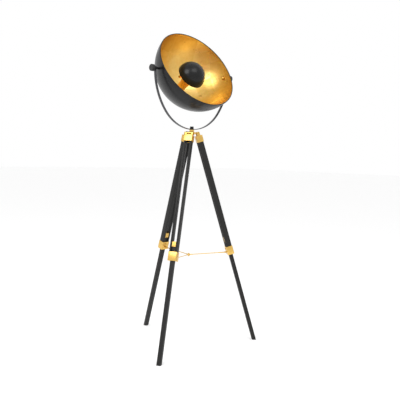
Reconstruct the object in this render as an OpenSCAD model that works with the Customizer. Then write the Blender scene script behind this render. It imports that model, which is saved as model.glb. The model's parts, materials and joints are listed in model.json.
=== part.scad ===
// Tripod floor lamp with a round studio-style bowl on a swivelling yoke.
// Frame: the floor is z = 0, the lamp faces -Y, the tilt axis runs along X,
// and the origin is the middle of the footprint's box. All sizes are in mm.

/* [Bowl] */
// Outer diameter of the bowl at its rim
bowl_d = 400; // [320:5:500]
// Depth of the bowl from rim plane to outer pole
bowl_depth = 190; // [150:1:195]
// Thickness of the painted steel shell
shell_t = 1.2; // [0.8:0.1:2]
// Thickness of the gold leaf lining
lining_t = 0.4; // [0.3:0.1:0.8]
// Radius of the rolled bead around the rim
bead_r = 1.8; // [1.2:0.1:2.5]
// Distance of the rim plane ahead of the tilt axis
rim_ahead = 36; // [20:1:50]
// Angle of the bowl's axis from straight up
head_tilt = 57.8; // [40:0.1:75]

/* [Glare cap] */
// Outer diameter of the half-round glare cap
cap_d = 132; // [110:1:150]
// Distance of the cap's rim ahead of the lamp holder
cap_ahead = 43; // [38:1:50]
// Thickness of the cap's black shell
cap_t = 1; // [0.8:0.1:2]
// Height of the bracket's tabs inside the glare cap
bracket_tab = 10; // [6:1:16]
// Width of the bracket's arms
bracket_w = 8; // [6:1:12]
// Thickness of the bracket's sheet
bracket_t = 1.5; // [1:0.1:2]
// Diameter of the screws that hold the bracket
bracket_screw_d = 3; // [2:0.1:3.5]

/* [Lamp holder] */
// Outer diameter of the holder's sleeve at the bowl
sleeve_d = 41; // [40:1:46]
// Outer diameter of the sleeve's flared mouth
mouth_d = 52; // [50:1:56]
// Distance of the sleeve's mouth ahead of the lamp holder
mouth_ahead = 26; // [20:1:30]
// Wall of the sleeve
sleeve_t = 1.3; // [1:0.1:2]
// Outer diameter of the lamp holder
holder_d = 34; // [32:0.5:36]
// Height of the lamp holder's underside above the outer pole
holder_s = 36; // [30:1:42]
// Height of the lamp holder
holder_h = 56; // [50:1:60]
// Diameter of the bulb's screw base
base_d = 26; // [25:0.1:27]
// Diameter of the bulb's glass
bulb_d = 60; // [50:1:62]
// Diameter of the threaded tube that carries the holder
tube_d = 10; // [9:0.5:12]
// Diameter of the wire way through the tube and the gland
wire_bore = 7; // [5:0.5:7.5]

/* [Tilt pivots] */
// Diameter of the pivot bolts
pivot_d = 6; // [5:0.5:8]
// Diameter of the spacers between bowl and yoke
spacer_d = 10; // [9:0.5:14]
// Diameter of the clamping knobs
knob_d = 30; // [24:1:36]
// Length of a knob's grip
knob_l = 15; // [12:1:20]
// Length of a knob's neck
knob_neck = 5; // [3:0.5:8]
// Number of grip flutes on a knob
flutes = 18; // [12:1:28]
// Diameter of the washers beside the yoke's arms
washer_d = 17; // [15:0.5:20]
// Thickness of those washers
washer_t = 1.2; // [0.8:0.1:2]
// Diameter of the bolts' heads inside the bowl
bolt_head_d = 13; // [11:0.5:16]

/* [Yoke] */
// Height of the tilt axis above the floor
pivot_z = 1260; // [1150:5:1400]
// Gap between the bowl's side and the middle of each arm of the yoke
arm_gap = 21; // [16:1:40]
// Gap between the turning bowl and the middle of the yoke's foot
foot_gap = 51; // [40:1:90]
// How much less the foot's bend radius is than half the distance between the arms
bend_less = 21; // [16:1:40]
// Width of the yoke's strip
yoke_w = 14; // [12:1:24]
// Thickness of the yoke's strip
yoke_t = 3; // [2:0.5:5]

/* [Swivel] */
// Diameter of the swivel stud
stud_d = 8; // [6:0.5:12]
// Diameter of the nut above the yoke's foot
nut_d = 17; // [14:1:24]
// Height of the nut above the yoke's foot
nut_h = 11; // [8:1:16]
// Number of grip flutes on the nut
nut_flutes = 12; // [8:1:18]
// Diameter of the hub's neck
neck_d = 22; // [18:1:26]
// Diameter of the hub's core
core_d = 24; // [22:1:30]

/* [Tripod] */
// Radius of the circle that the feet stand on
foot_r = 332; // [250:1:420]
// Radius of the leg hinges around the tripod's axis
hinge_r = 28; // [26:1:40]
// Drop from the yoke's foot to the leg hinges
hinge_below = 17; // [16:1:30]
// Diameter of the hinge pins
pin_d = 6; // [5:0.5:8]
// Diameter of the hub's hinge barrels
barrel_d = 12.5; // [11:0.5:14]
// Length of the hub's hinge barrels
barrel_l = 24; // [18:1:26]
// Thickness of the ears on the leg caps
ear_t = 5; // [3:0.5:6]

/* [Legs] */
// Width of one rail of an upper leg
rail_w = 8; // [6:0.5:12]
// Depth of the rails beyond the lower leg and its stop pins
rail_over = 3; // [2:0.5:8]
// Width of the sliding lower leg
bar_w = 19; // [16:0.5:24]
// Depth of the sliding lower leg
bar_d = 18; // [14:0.5:22]
// Clearance of the lower leg on each side
bar_clear = 0.4; // [0.2:0.1:1]
// Length of the upper leg from its hinge to the collar's middle
collar_s = 572; // [480:1:640]
// Height of the collars
collar_h = 40; // [30:1:60]
// Height of the caps below the hinge ears
cap_h = 31; // [24:1:44]
// Wall of the brass caps and collars
brass_t = 2; // [1.5:0.1:3]
// Chamfer on the edges of the brass parts
brass_chamfer = 0.8; // [0.4:0.1:1.2]
// Chamfer on the edges of the wood
wood_chamfer = 1; // [0.5:0.1:2]
// Diameter of the screws that hold the caps and the collars
screw_d = 4; // [3:0.5:5]
// Diameter of the screw that clamps the lower leg
clamp_d = 5; // [4:0.5:6]
// Diameter of the clamping screw's head
clamp_head_d = 9; // [8:0.5:12]
// Diameter of the pins that stop the lower leg
stop_d = 3; // [2:0.5:4]
// Length of the brass tip on the lower leg
tip_l = 20; // [14:1:30]
// Depth of the brass tip beyond the lower leg
tip_over = 6; // [4:0.5:7]
// Distance of the tip's top above the collar's middle
tip_above = 65; // [50:1:90]
// Thickness of the rubber foot pads
pad_t = 3; // [2:0.5:6]

/* [Spreader] */
// Diameter of the wire stays
stay_d = 3.6; // [2.5:0.1:5]
// Diameter of the crimped ends of the stays
ferrule_d = 4.8; // [3.5:0.1:6]
// Length of the crimped ends of the stays
ferrule_l = 26; // [14:1:34]
// Distance from the collar's middle down to the stay pins
lug_below = 5; // [0:0.5:10]
// Distance from the collar's inner face to the stay pins
lug_reach = 7.4; // [6:0.1:10]
// Diameter of the stay pins
stay_pin_d = 3; // [2:0.1:4]
// Diameter of the spreader's centre knob
centre_d = 13; // [11:0.5:20]
// Drop of the centre knob below the stay pins
centre_drop = 10; // [2:0.5:20]

/* [Hidden] */
$fn = 96;
SIDES = ["rear", "left", "right"];
LEG_TURN = [90, 210, 330];
LEG_NODES = ["leg_cap", "leg_rails", "leg_collar", "hinge_pin", "leg_fasteners", "clamp_screw",
    "stay_pin", "lower_leg", "lower_leg_tip", "foot_pad", "spreader_stay"];

black = [0.06, 0.06, 0.065];
gunmetal = [0.2, 0.2, 0.21];
gold = [0.83, 0.6, 0.15];
brass = [0.86, 0.68, 0.34];
dark_wood = [0.09, 0.085, 0.08];

// running fit on a radius, gap between faces that turn or slide on each other,
// and gap between pieces that stay put on each other
run_fit = 0.08;
thrust_gap = 0.15;
seat_gap = 0.05;

// bowl: a ball whose lower part is kept, up to the rim plane
rim_r = bowl_d / 2;
ball_r = (rim_r * rim_r + bowl_depth * bowl_depth) / (2 * bowl_depth);
pole_back = bowl_depth - rim_ahead;
inner_r = ball_r - shell_t;
lining_r = inner_r - seat_gap - lining_t;
// planes of the glare cap's rim and of the sleeve's mouth
cap_s = holder_s + holder_h + cap_ahead;
mouth_s = holder_s + holder_h + mouth_ahead;
// foot of the bulb's base inside the holder, and height of the base
bulb_s = holder_s + holder_h / 2;
base_h = 25;
// straight stretches at the sleeve's mouth and above the bowl
mouth_land = 8;
sleeve_straight = mouth_s - 6 * mouth_land;
cover_h = 13;
cover_d = 44;
// how far from the bowl's axis its outside and its lining stand at the tilt axis
pivot_rise = ball_r - pole_back;
wall_x = sqrt(ball_r * ball_r - pivot_rise * pivot_rise);
lining_x = sqrt(lining_r * lining_r - pivot_rise * pivot_rise);

// yoke: it clears the bowl at any tilt, and two side arcs run tangent into its bent foot
bowl_reach = sqrt(rim_r * rim_r + rim_ahead * rim_ahead);
yoke_half = ceil(wall_x) + arm_gap;
yoke_drop = ceil(bowl_reach) + foot_gap;
yoke_bend = yoke_half - bend_less;
side_bend = (yoke_half * yoke_half + pow(yoke_drop - yoke_bend, 2) - yoke_bend * yoke_bend)
    / (2 * (yoke_half - yoke_bend));
arm_in = yoke_half - yoke_t / 2;
arm_out = yoke_half + yoke_t / 2;
yoke_pad_d = neck_d - 2;
yoke_pad_h = yoke_t + 1;
// where the bolts' heads, the knobs and their grips start along the tilt axis
bolt_head_h = 3;
head_x = lining_x - 4;
spacer_end = arm_in - 2 * thrust_gap - washer_t;
knob_start = arm_out + 2 * thrust_gap + washer_t;
knob_bore_l = knob_neck + knob_l * 0.6;
knob_edge = 1.5;

// tripod
foot_z = pivot_z - yoke_drop;
hinge_z = foot_z - hinge_below;
leg_tilt = atan((foot_r - hinge_r) / hinge_z);
leg_s = hinge_z / cos(leg_tilt);
gap_w = bar_w + 2 * bar_clear;
rail_d = bar_d + 2 * stop_d + rail_over;
tip_d = bar_d + tip_over;
leg_w = gap_w + 2 * rail_w;
box_w = leg_w + 2 * (brass_t + seat_gap);
box_d = rail_d + 2 * (brass_t + seat_gap);
rail_x = (gap_w + rail_w) / 2;
ear_drop = pin_d + 5;
ear_x = barrel_l / 2 + thrust_gap;
collar_top_s = collar_s - collar_h / 2;
collar_end_s = collar_s + collar_h / 2;
collar_floor = 4;
cap_roof = 3;
rail_top_s = ear_drop + cap_roof + seat_gap;
tip_s = collar_s - tip_above;
screw_s = [ear_drop + 2 * cap_h / 3, collar_s - collar_h / 3];
screw_l = brass_t + rail_d / 2;
screw_head_d = screw_d + 3;
screw_head_h = 0.8;
clamp_s = collar_s - collar_h / 4;
ear_r = pin_d / 2 + 4;
stop_y = bar_d / 2 + stop_d / 2 + bar_clear;
stop_s = tip_s + tip_l + stop_d / 2 + seat_gap;

// spreader: pins on the collars' inner faces, and the knob between them
lug_y = -(box_d / 2 + lug_reach);
lug_s = collar_s + lug_below;
lug_r = hinge_r + lug_y * cos(leg_tilt) + lug_s * sin(leg_tilt);
lug_z = hinge_z + lug_y * sin(leg_tilt) - lug_s * cos(leg_tilt);
centre_z = lug_z - centre_drop;
eye_t = 2.8;
eye_d = stay_pin_d + 4;
lug_t = 2;
stay_start = centre_d / 2 - 1.5;
stay_end = eye_d / 2 + 0.5;
stay_rise = atan(centre_drop / lug_r);
stay_l = sqrt(lug_r * lug_r + centre_drop * centre_drop);

// the tripod's axis stands off the origin, so that the footprint's box is centred
rear_reach = foot_r + bar_d / 2 / cos(leg_tilt);
front_reach = rear_reach * sin(30) + bar_w / 2 * cos(30);
axis_y = (front_reach - rear_reach) / 2;

module at_axis() {
    translate([0, axis_y, 0]) children();
}

// z runs along the bowl's axis from the outer pole towards the opening
module in_bowl() {
    translate([0, axis_y, pivot_z])
        rotate([head_tilt, 0, 0])
            translate([0, 0, -pole_back])
                children();
}

// x runs along the tilt axis, away from the bowl on the given side
module on_pivot(side) {
    translate([0, axis_y, pivot_z])
        rotate([0, 90 * side, 0])
            children();
}

// z runs up the leg from its hinge, y points away from the tripod's axis
module on_leg(i) {
    at_axis()
        rotate([0, 0, LEG_TURN[i] - 90])
            translate([0, hinge_r, hinge_z])
                rotate([leg_tilt, 0, 0])
                    children();
}

// a rectangle with its corners cut off
module cut_square(w, d, c) {
    x = w / 2;
    y = d / 2;
    polygon([[c - x, -y], [x - c, -y], [x, c - y], [x, y - c],
        [x - c, y], [c - x, y], [-x, y - c], [-x, c - y]]);
}

// a block from z = low to z = high with all its edges cut off
module cut_block(w, d, low, high, c) {
    h = high - low;
    intersection() {
        translate([0, 0, low]) linear_extrude(h) cut_square(w, d, c);
        translate([0, 0, low + h / 2]) rotate([90, 0, 0])
            linear_extrude(d, center = true) cut_square(w, h, c);
        translate([0, 0, low + h / 2]) rotate([90, 0, 90])
            linear_extrude(w, center = true) cut_square(d, h, c);
    }
}

// a tube along z
module tube(d, bore, low, high) {
    translate([0, 0, low])
        difference() {
            cylinder(d = d, h = high - low);
            translate([0, 0, -1]) cylinder(d = bore, h = high - low + 2);
        }
}

// the ball of the given radius that the bowl is cut from
module bowl_ball(r) {
    translate([0, 0, ball_r]) sphere(r, $fn = 240);
}

// everything up to height top in the bowl's frame
module below(top) {
    translate([-ball_r - 5, -ball_r - 5, -5]) cube([2 * ball_r + 10, 2 * ball_r + 10, top + 5]);
}

// the holes that the pivot bolts and the threaded tube need
module bowl_holes() {
    translate([0, 0, pole_back]) rotate([0, 90, 0])
        cylinder(d = pivot_d + 2 * seat_gap, h = 2 * ball_r + 10, center = true);
    translate([0, 0, -5]) cylinder(d = tube_d + 2 * seat_gap, h = 20);
}

module bowl_shell() {
    color(black) in_bowl()
        difference() {
            union() {
                difference() {
                    intersection() {
                        bowl_ball(ball_r);
                        below(bowl_depth);
                    }
                    bowl_ball(inner_r);
                }
                translate([0, 0, bowl_depth])
                    rotate_extrude() translate([rim_r - bead_r, 0]) circle(bead_r);
            }
            bowl_holes();
        }
}

module gold_lining() {
    color(gold) in_bowl()
        difference() {
            intersection() {
                bowl_ball(inner_r - seat_gap);
                below(bowl_depth - bead_r - 6 * seat_gap);
            }
            bowl_ball(lining_r);
            bowl_holes();
        }
}

// a half-round shell that opens towards the bowl
module dome(r, t, lip) {
    translate([0, 0, cap_s])
        difference() {
            intersection() {
                sphere(r);
                translate([-r, -r, -lip]) cube([2 * r, 2 * r, r + lip + 1]);
            }
            sphere(r - t);
        }
}

module glare_cap() {
    color(black) in_bowl() dome(cap_d / 2, cap_t, 0);
}

module cap_lining() {
    color(gold) in_bowl() dome(cap_d / 2 - cap_t - seat_gap, lining_t, 1.2);
}

// two bent arms from the sleeve's mouth to the inside of the glare cap
module cap_bracket() {
    sleeve_r = mouth_d / 2 + seat_gap;
    seat_r = cap_d / 2 - cap_t - lining_t - 2 * seat_gap;
    tab_x = seat_r - 4 * bracket_t;
    tab_low = cap_s + bracket_tab / 2;
    color(gold) in_bowl()
        difference() {
            intersection() {
                for (side = [0, 180])
                    rotate([90, 0, side])
                        linear_extrude(bracket_w, center = true)
                            polygon([
                                [0, mouth_s - mouth_land],
                                [sleeve_r + bracket_t, mouth_s - mouth_land],
                                [sleeve_r + bracket_t, mouth_s - bracket_t],
                                [tab_x + bracket_t, mouth_s - bracket_t],
                                [tab_x + bracket_t, tab_low],
                                [seat_r, tab_low],
                                [seat_r, tab_low + bracket_tab],
                                [tab_x, tab_low + bracket_tab],
                                [tab_x, mouth_s],
                                [0, mouth_s]]);
                union() {
                    translate([0, 0, cap_s]) sphere(seat_r);
                    translate([0, 0, mouth_s - mouth_land])
                        cylinder(r = seat_r, h = cap_s - mouth_s + mouth_land);
                }
            }
            translate([0, 0, mouth_s - 2 * mouth_land]) cylinder(r = sleeve_r, h = 3 * mouth_land);
            bracket_screw_ways(seat_gap);
        }
}

// the shanks of the bracket's screws through the sleeve's mouth, or their holes
module bracket_screw_ways(clear) {
    start = mouth_d / 2 - sleeve_t - bracket_t / 2;
    for (side = [-1, 1])
        translate([0, 0, mouth_s - mouth_land / 2]) rotate([0, 90 * side, 0])
            translate([0, 0, start])
                cylinder(d = bracket_screw_d + 2 * clear, h = mouth_d / 2 + 3 * bracket_t - start);
}

module bracket_screws() {
    head_start = mouth_d / 2 + bracket_t + 2 * seat_gap;
    color(brass) in_bowl() {
        intersection() {
            bracket_screw_ways(0);
            translate([0, 0, mouth_s - mouth_land]) cylinder(r = head_start + seat_gap, h = mouth_land);
        }
        for (side = [-1, 1])
            translate([0, 0, mouth_s - mouth_land / 2]) rotate([0, 90 * side, 0])
                translate([0, 0, head_start]) cylinder(d = 1.5 * bracket_screw_d, h = bracket_t);
    }
}

// outline of the sleeve: a tube that flares to a straight land at its mouth
module sleeve_profile(grow, top) {
    low = sleeve_d / 2 + grow;
    high = mouth_d / 2 + grow;
    polygon([[0, 0], [low, 0], [low, sleeve_straight], [high, mouth_s - mouth_land], [high, top], [0, top]]);
}

module holder_sleeve() {
    color(gold) in_bowl()
        difference() {
            intersection() {
                rotate_extrude() sleeve_profile(0, mouth_s);
                bowl_ball(lining_r - seat_gap);
            }
            intersection() {
                rotate_extrude() sleeve_profile(-sleeve_t, 2 * mouth_s);
                bowl_ball(lining_r - seat_gap - sleeve_t);
            }
            cylinder(d = tube_d + 2 * seat_gap, h = holder_s);
            bracket_screw_ways(seat_gap);
        }
}

module lamp_holder() {
    shoulder = 6;
    floor_s = bulb_s - shoulder;
    color([0.08, 0.08, 0.08]) in_bowl()
        difference() {
            union() {
                translate([0, 0, holder_s]) cylinder(d1 = holder_d - shoulder, d2 = holder_d, h = shoulder);
                translate([0, 0, holder_s + shoulder]) cylinder(d = holder_d, h = holder_h - shoulder);
            }
            translate([0, 0, floor_s]) cylinder(d = base_d + 2.4, h = holder_h);
            translate([0, 0, holder_s - 1]) cylinder(d = tube_d + 2 * seat_gap, h = 2 * shoulder + 1);
            translate([0, 0, holder_s - 1]) cylinder(d = wire_bore, h = holder_h);
        }
}

// the screw shell inside the holder, and the tongue that meets the bulb's foot
module lamp_contacts() {
    tongue_s = bulb_s - 6 + seat_gap;
    color(brass) in_bowl() {
        tube(base_d + 2.2, base_d + 1.2, bulb_s - 2, bulb_s + base_h - 3);
        translate([-4, -2.5, tongue_s]) cube([16, 5, 1.5]);
        translate([0, 0, tongue_s + 1]) cylinder(d = 5, h = 3);
    }
}

module bulb_glass() {
    neck_r = base_d / 2;
    r = bulb_d / 2;
    neck_s = bulb_s + base_h;
    centre = bulb_s + base_h + bulb_d * 0.85;
    glass_t = 1;
    turn = acos((r - neck_r * 0.7) / (centre - neck_s));
    color([0.96, 0.95, 0.92]) in_bowl()
        difference() {
            union() {
                translate([0, 0, centre]) sphere(r);
                translate([0, 0, neck_s])
                    cylinder(r1 = neck_r, r2 = r * sin(turn), h = centre - neck_s - r * cos(turn));
            }
            translate([0, 0, centre]) sphere(r - glass_t);
            translate([0, 0, neck_s - glass_t]) cylinder(r = neck_r - 2 * glass_t, h = centre - neck_s);
        }
}

module bulb_base() {
    foot_h = 5;
    thread_r = 0.6;
    pitch = 3.6;
    color([0.75, 0.75, 0.76]) in_bowl()
        difference() {
            union() {
                translate([0, 0, bulb_s + foot_h]) cylinder(d = base_d, h = base_h - foot_h - seat_gap);
                for (turn = [1:5])
                    translate([0, 0, bulb_s + foot_h + pitch * (turn - 0.4)])
                        rotate_extrude() translate([base_d / 2 - thread_r / 3, 0]) circle(thread_r, $fn = 24);
                translate([0, 0, bulb_s]) cylinder(d1 = 9, d2 = base_d - 2, h = foot_h);
            }
            translate([0, 0, bulb_s + base_h - foot_h / 2]) cylinder(d = base_d - 4, h = foot_h);
        }
}

// the hollow tube through the bowl's back, with the nut that clamps the sleeve
module threaded_tube() {
    nut_start = shell_t + lining_t + sleeve_t + 1;
    color([0.7, 0.7, 0.72]) in_bowl() {
        tube(tube_d, wire_bore, 2 - cover_h, holder_s + 11);
        difference() {
            translate([0, 0, nut_start]) cylinder(d = 1.7 * tube_d, h = 4, $fn = 6);
            cylinder(d = tube_d + 2 * seat_gap, h = holder_s);
        }
    }
}

module back_cover() {
    bevel = 4;
    color(black) in_bowl()
        difference() {
            union() {
                translate([0, 0, bevel - cover_h]) cylinder(d = cover_d, h = cover_h);
                translate([0, 0, -cover_h]) cylinder(d1 = cover_d - 2 * bevel, d2 = cover_d, h = bevel);
            }
            bowl_ball(ball_r + seat_gap);
            translate([0, 0, -cover_h - 1]) cylinder(d = tube_d + 2 * seat_gap, h = 2 * cover_h);
        }
}

// the cord's way out: a flanged, tapering collar with a straight bore
module cable_gland() {
    flange_h = 5;
    gland_l = 19;
    color(black) in_bowl()
        difference() {
            union() {
                translate([0, 0, -cover_h - flange_h]) cylinder(d = 18, h = flange_h - seat_gap);
                translate([0, 0, -cover_h - gland_l]) cylinder(d1 = 12, d2 = 16, h = gland_l - flange_h);
            }
            translate([0, 0, -cover_h - gland_l - 1]) cylinder(d = wire_bore, h = gland_l + 2);
        }
}

module pivot_spacers() {
    color(black)
        difference() {
            for (side = [-1, 1])
                on_pivot(side)
                    tube(spacer_d, pivot_d + 2 * seat_gap, wall_x - spacer_d / 2, spacer_end);
            in_bowl() bowl_ball(ball_r + seat_gap);
        }
}

// bolts through the bowl and the yoke, with domed heads inside the bowl
module pivot_bolts() {
    dome_r = 0.55 * bolt_head_d;
    color([0.55, 0.5, 0.35])
        for (side = [-1, 1])
            on_pivot(side) {
                translate([0, 0, head_x - 1])
                    cylinder(d = pivot_d, h = knob_start + knob_bore_l - head_x + 1);
                translate([0, 0, head_x - bolt_head_h]) cylinder(d = bolt_head_d, h = bolt_head_h);
                intersection() {
                    translate([0, 0, head_x - bolt_head_h + 1]) sphere(dome_r);
                    translate([0, 0, head_x - bolt_head_h - dome_r])
                        cylinder(d = bolt_head_d, h = dome_r + 1);
                }
            }
}

// seats that fill between the sloping lining and the bolts' heads
module inner_washers() {
    color(gold)
        intersection() {
            for (side = [-1, 1])
                on_pivot(side)
                    tube(bolt_head_d + 5, pivot_d + 2 * seat_gap, head_x + seat_gap, lining_x + 6);
            in_bowl() bowl_ball(lining_r - seat_gap);
        }
}

// outline of one arc of the yoke's strip, from angle a to angle b, both measured from straight down
module yoke_arc(bend, a, b) {
    reach = 2 * bend;
    intersection() {
        difference() {
            circle(bend + yoke_t / 2, $fn = 360);
            circle(bend - yoke_t / 2, $fn = 360);
        }
        polygon([[0, 0], reach * [sin(a), -cos(a)], reach * [sin(b), -cos(b)]]);
    }
}

module yoke() {
    foot_half = atan2(side_bend - yoke_half, yoke_drop - yoke_bend);
    color(gunmetal)
        difference() {
            translate([0, axis_y, pivot_z])
                union() {
                    rotate([90, 0, 0]) linear_extrude(yoke_w, center = true) {
                        translate([0, yoke_bend - yoke_drop]) yoke_arc(yoke_bend, -foot_half, foot_half);
                        for (side = [0, 1])
                            mirror([side, 0]) translate([yoke_half - side_bend, 0])
                                yoke_arc(side_bend, foot_half, 90);
                    }
                    for (side = [-1, 1])
                        translate([side * yoke_half, 0, 0]) rotate([0, 90, 0])
                            cylinder(d = yoke_w, h = yoke_t, center = true);
                    translate([0, 0, -yoke_drop - yoke_pad_h / 2]) cylinder(d = yoke_pad_d, h = yoke_pad_h);
                }
            for (side = [-1, 1])
                on_pivot(side) translate([0, 0, arm_in - 5])
                    cylinder(d = pivot_d + 2 * run_fit, h = yoke_t + 10);
            at_axis() translate([0, 0, foot_z - 10]) cylinder(d = stud_d + 2 * run_fit, h = 20);
        }
}

// thin washers on both faces of each arm
module yoke_washers() {
    color(black)
        for (side = [-1, 1])
            on_pivot(side)
                for (low = [arm_in - thrust_gap - washer_t, arm_out + thrust_gap])
                    tube(washer_d, pivot_d + 2 * run_fit, low, low + washer_t);
}

// a cylinder along z whose two edges are bevelled
module bevelled(d, low, high, bevel) {
    translate([0, 0, low]) cylinder(d1 = d - 2 * bevel, d2 = d, h = bevel);
    translate([0, 0, low + bevel]) cylinder(d = d, h = high - low - 2 * bevel);
    translate([0, 0, high - bevel]) cylinder(d1 = d, d2 = d - 2 * bevel, h = bevel);
}

// grip flutes around a knob or nut, to be cut from it
module grooves(d, count, low, high) {
    groove_d = 1.6 * d / count;
    for (i = [0:count - 1])
        rotate([0, 0, i * 360 / count])
            translate([d / 2 + groove_d / 4, 0, low]) cylinder(d = groove_d, h = high - low, $fn = 32);
}

// a fluted knob on its neck, screwed on the pivot bolt
module tilt_knob(side) {
    grip = knob_start + knob_neck;
    end = grip + knob_l;
    dish = 0.8;
    color(black)
        on_pivot(side)
            difference() {
                union() {
                    translate([0, 0, knob_start]) cylinder(d = washer_d - 2, h = knob_neck);
                    bevelled(knob_d, grip, end, knob_edge);
                }
                grooves(knob_d, flutes, grip - 1, end + 1);
                translate([0, 0, end - dish]) cylinder(d = 0.6 * knob_d, h = 2 * dish);
                translate([0, 0, knob_start - 1]) cylinder(d = pivot_d + 2 * run_fit, h = knob_bore_l + 2);
            }
}

module swivel_stud() {
    low = hinge_z - 2;
    high = foot_z + yoke_pad_h / 2 + nut_h - 2;
    color([0.6, 0.6, 0.62]) at_axis()
        translate([0, 0, low]) cylinder(d = stud_d, h = high - low);
}

// a fluted cap nut with a flange, on top of the yoke's foot
module swivel_nut() {
    start = foot_z + yoke_pad_h / 2 + thrust_gap;
    flange_h = 2;
    color(black) at_axis()
        difference() {
            union() {
                translate([0, 0, start]) cylinder(d = nut_d + 3, h = flange_h);
                bevelled(nut_d, start + flange_h - 1, start + nut_h, 1);
            }
            translate([0, 0, start - 1]) cylinder(d = stud_d + 2 * run_fit, h = nut_h);
            grooves(nut_d, nut_flutes, start + flange_h, start + nut_h + 1);
        }
}

// the brass hub: a neck under the yoke, and three barrels for the legs' hinge pins
module hub() {
    core_h = 14;
    tongue_w = 14;
    tongue_h = 9;
    neck_top = foot_z - yoke_pad_h / 2 - thrust_gap;
    color(brass) at_axis()
        difference() {
            union() {
                bevelled(core_d, hinge_z - core_h / 2 - 2, hinge_z + core_h / 2, 1);
                translate([0, 0, hinge_z]) cylinder(d = neck_d, h = neck_top - hinge_z);
                for (turn = LEG_TURN)
                    rotate([0, 0, turn - 90]) {
                        translate([-tongue_w / 2, 0, hinge_z - tongue_h / 2])
                            cube([tongue_w, hinge_r, tongue_h]);
                        translate([-barrel_l / 2, hinge_r, hinge_z]) rotate([0, 90, 0])
                            cylinder(d = barrel_d, h = barrel_l);
                    }
            }
            for (turn = LEG_TURN)
                rotate([0, 0, turn - 90])
                    translate([-barrel_l, hinge_r, hinge_z]) rotate([0, 90, 0])
                        cylinder(d = pin_d + 2 * run_fit, h = 2 * barrel_l);
            translate([0, 0, hinge_z - 2 - seat_gap])
                cylinder(d = stud_d + 2 * seat_gap, h = 2 * hinge_below);
        }
}

// the holes for a leg's screws, on the side that faces the tripod's axis
module leg_screw_ways() {
    for (s = screw_s, side = [-1, 1])
        translate([side * rail_x, -box_d / 2, -s]) rotate([-90, 0, 0]) {
            translate([0, 0, -1]) cylinder(d = screw_head_d + 2 * seat_gap, h = 2 + seat_gap, $fn = 48);
            cylinder(d = screw_d + 2 * seat_gap, h = screw_l, $fn = 48);
        }
}

// the pins across both rails that the lower leg's tip comes to rest on
module stop_pins(clear) {
    for (side = [-1, 1])
        translate([0, side * stop_y, -stop_s]) rotate([0, 90, 0])
            cylinder(d = stop_d + 2 * clear, h = leg_w + 2 * clear, center = true, $fn = 48);
}

module leg_cap(i) {
    color(brass) on_leg(i)
        difference() {
            union() {
                cut_block(box_w, box_d, -ear_drop - cap_h, -ear_drop, brass_chamfer);
                for (side = [-1, 1])
                    translate([side * (ear_x + ear_t / 2), 0, 0]) rotate([0, 90, 0]) {
                        cylinder(r = ear_r, h = ear_t, center = true);
                        translate([0, -ear_r, -ear_t / 2]) cube([ear_drop + 1, 2 * ear_r, ear_t]);
                    }
            }
            translate([0, 0, -ear_drop - cap_h - 1]) linear_extrude(cap_h + 1 - cap_roof)
                square([leg_w + 2 * seat_gap, rail_d + 2 * seat_gap], center = true);
            rotate([0, 90, 0]) cylinder(d = pin_d + 0.02, h = 2 * box_w, center = true);
            leg_screw_ways();
        }
}

module leg_rails(i) {
    low = -collar_end_s + collar_floor + seat_gap;
    color(dark_wood) on_leg(i)
        difference() {
            for (side = [-1, 1])
                translate([side * rail_x, 0, low]) linear_extrude(-rail_top_s - low)
                    cut_square(rail_w, rail_d, wood_chamfer);
            leg_screw_ways();
            stop_pins(seat_gap);
        }
}

module leg_collar(i) {
    lug_x = eye_t / 2 + thrust_gap + lug_t / 2;
    color(brass) on_leg(i)
        difference() {
            union() {
                cut_block(box_w, box_d, -collar_end_s, -collar_top_s, brass_chamfer);
                for (side = [-1, 1])
                    translate([side * lug_x, lug_y, -lug_s]) rotate([0, 90, 0]) {
                        cylinder(d = eye_d, h = lug_t, center = true, $fn = 48);
                        translate([-eye_d / 2, 0, -lug_t / 2]) cube([eye_d, lug_reach + 1, lug_t]);
                    }
            }
            translate([0, 0, -collar_end_s + collar_floor]) linear_extrude(collar_h)
                square([leg_w + 2 * seat_gap, rail_d + 2 * seat_gap], center = true);
            translate([0, 0, -collar_end_s - 1]) linear_extrude(collar_h)
                square([bar_w + 2 * bar_clear, bar_d + 2 * bar_clear], center = true);
            translate([0, lug_y, -lug_s]) rotate([0, 90, 0])
                cylinder(d = stay_pin_d + 0.02, h = box_w, center = true, $fn = 48);
            translate([0, -rail_d / 2, -clamp_s]) rotate([90, 0, 0])
                cylinder(d = clamp_d + 2 * run_fit, h = box_d, $fn = 48);
            leg_screw_ways();
        }
}

module hinge_pin(i) {
    half = ear_x + ear_t;
    head_h = 1.2;
    color([0.7, 0.6, 0.4]) on_leg(i)
        rotate([0, 90, 0]) {
            cylinder(d = pin_d, h = 2 * half, center = true);
            for (side = [0, 180])
                rotate([side, 0, 0]) translate([0, 0, half]) cylinder(d1 = pin_d + 3, d2 = pin_d, h = head_h);
        }
}

// four slotted screws and two stop pins
module leg_fasteners(i) {
    color([0.7, 0.6, 0.4]) on_leg(i) {
        for (s = screw_s, side = [-1, 1])
            translate([side * rail_x, -box_d / 2, -s]) rotate([-90, 0, 0])
                difference() {
                    union() {
                        translate([0, 0, 1 - screw_head_h])
                            cylinder(d = screw_head_d, h = screw_head_h, $fn = 48);
                        translate([0, 0, 1]) cylinder(d = screw_d, h = screw_l - 1 - seat_gap, $fn = 48);
                    }
                    translate([-0.5, -screw_d, 0]) cube([1, 2 * screw_d, 0.7]);
                }
        stop_pins(0);
    }
}

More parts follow.
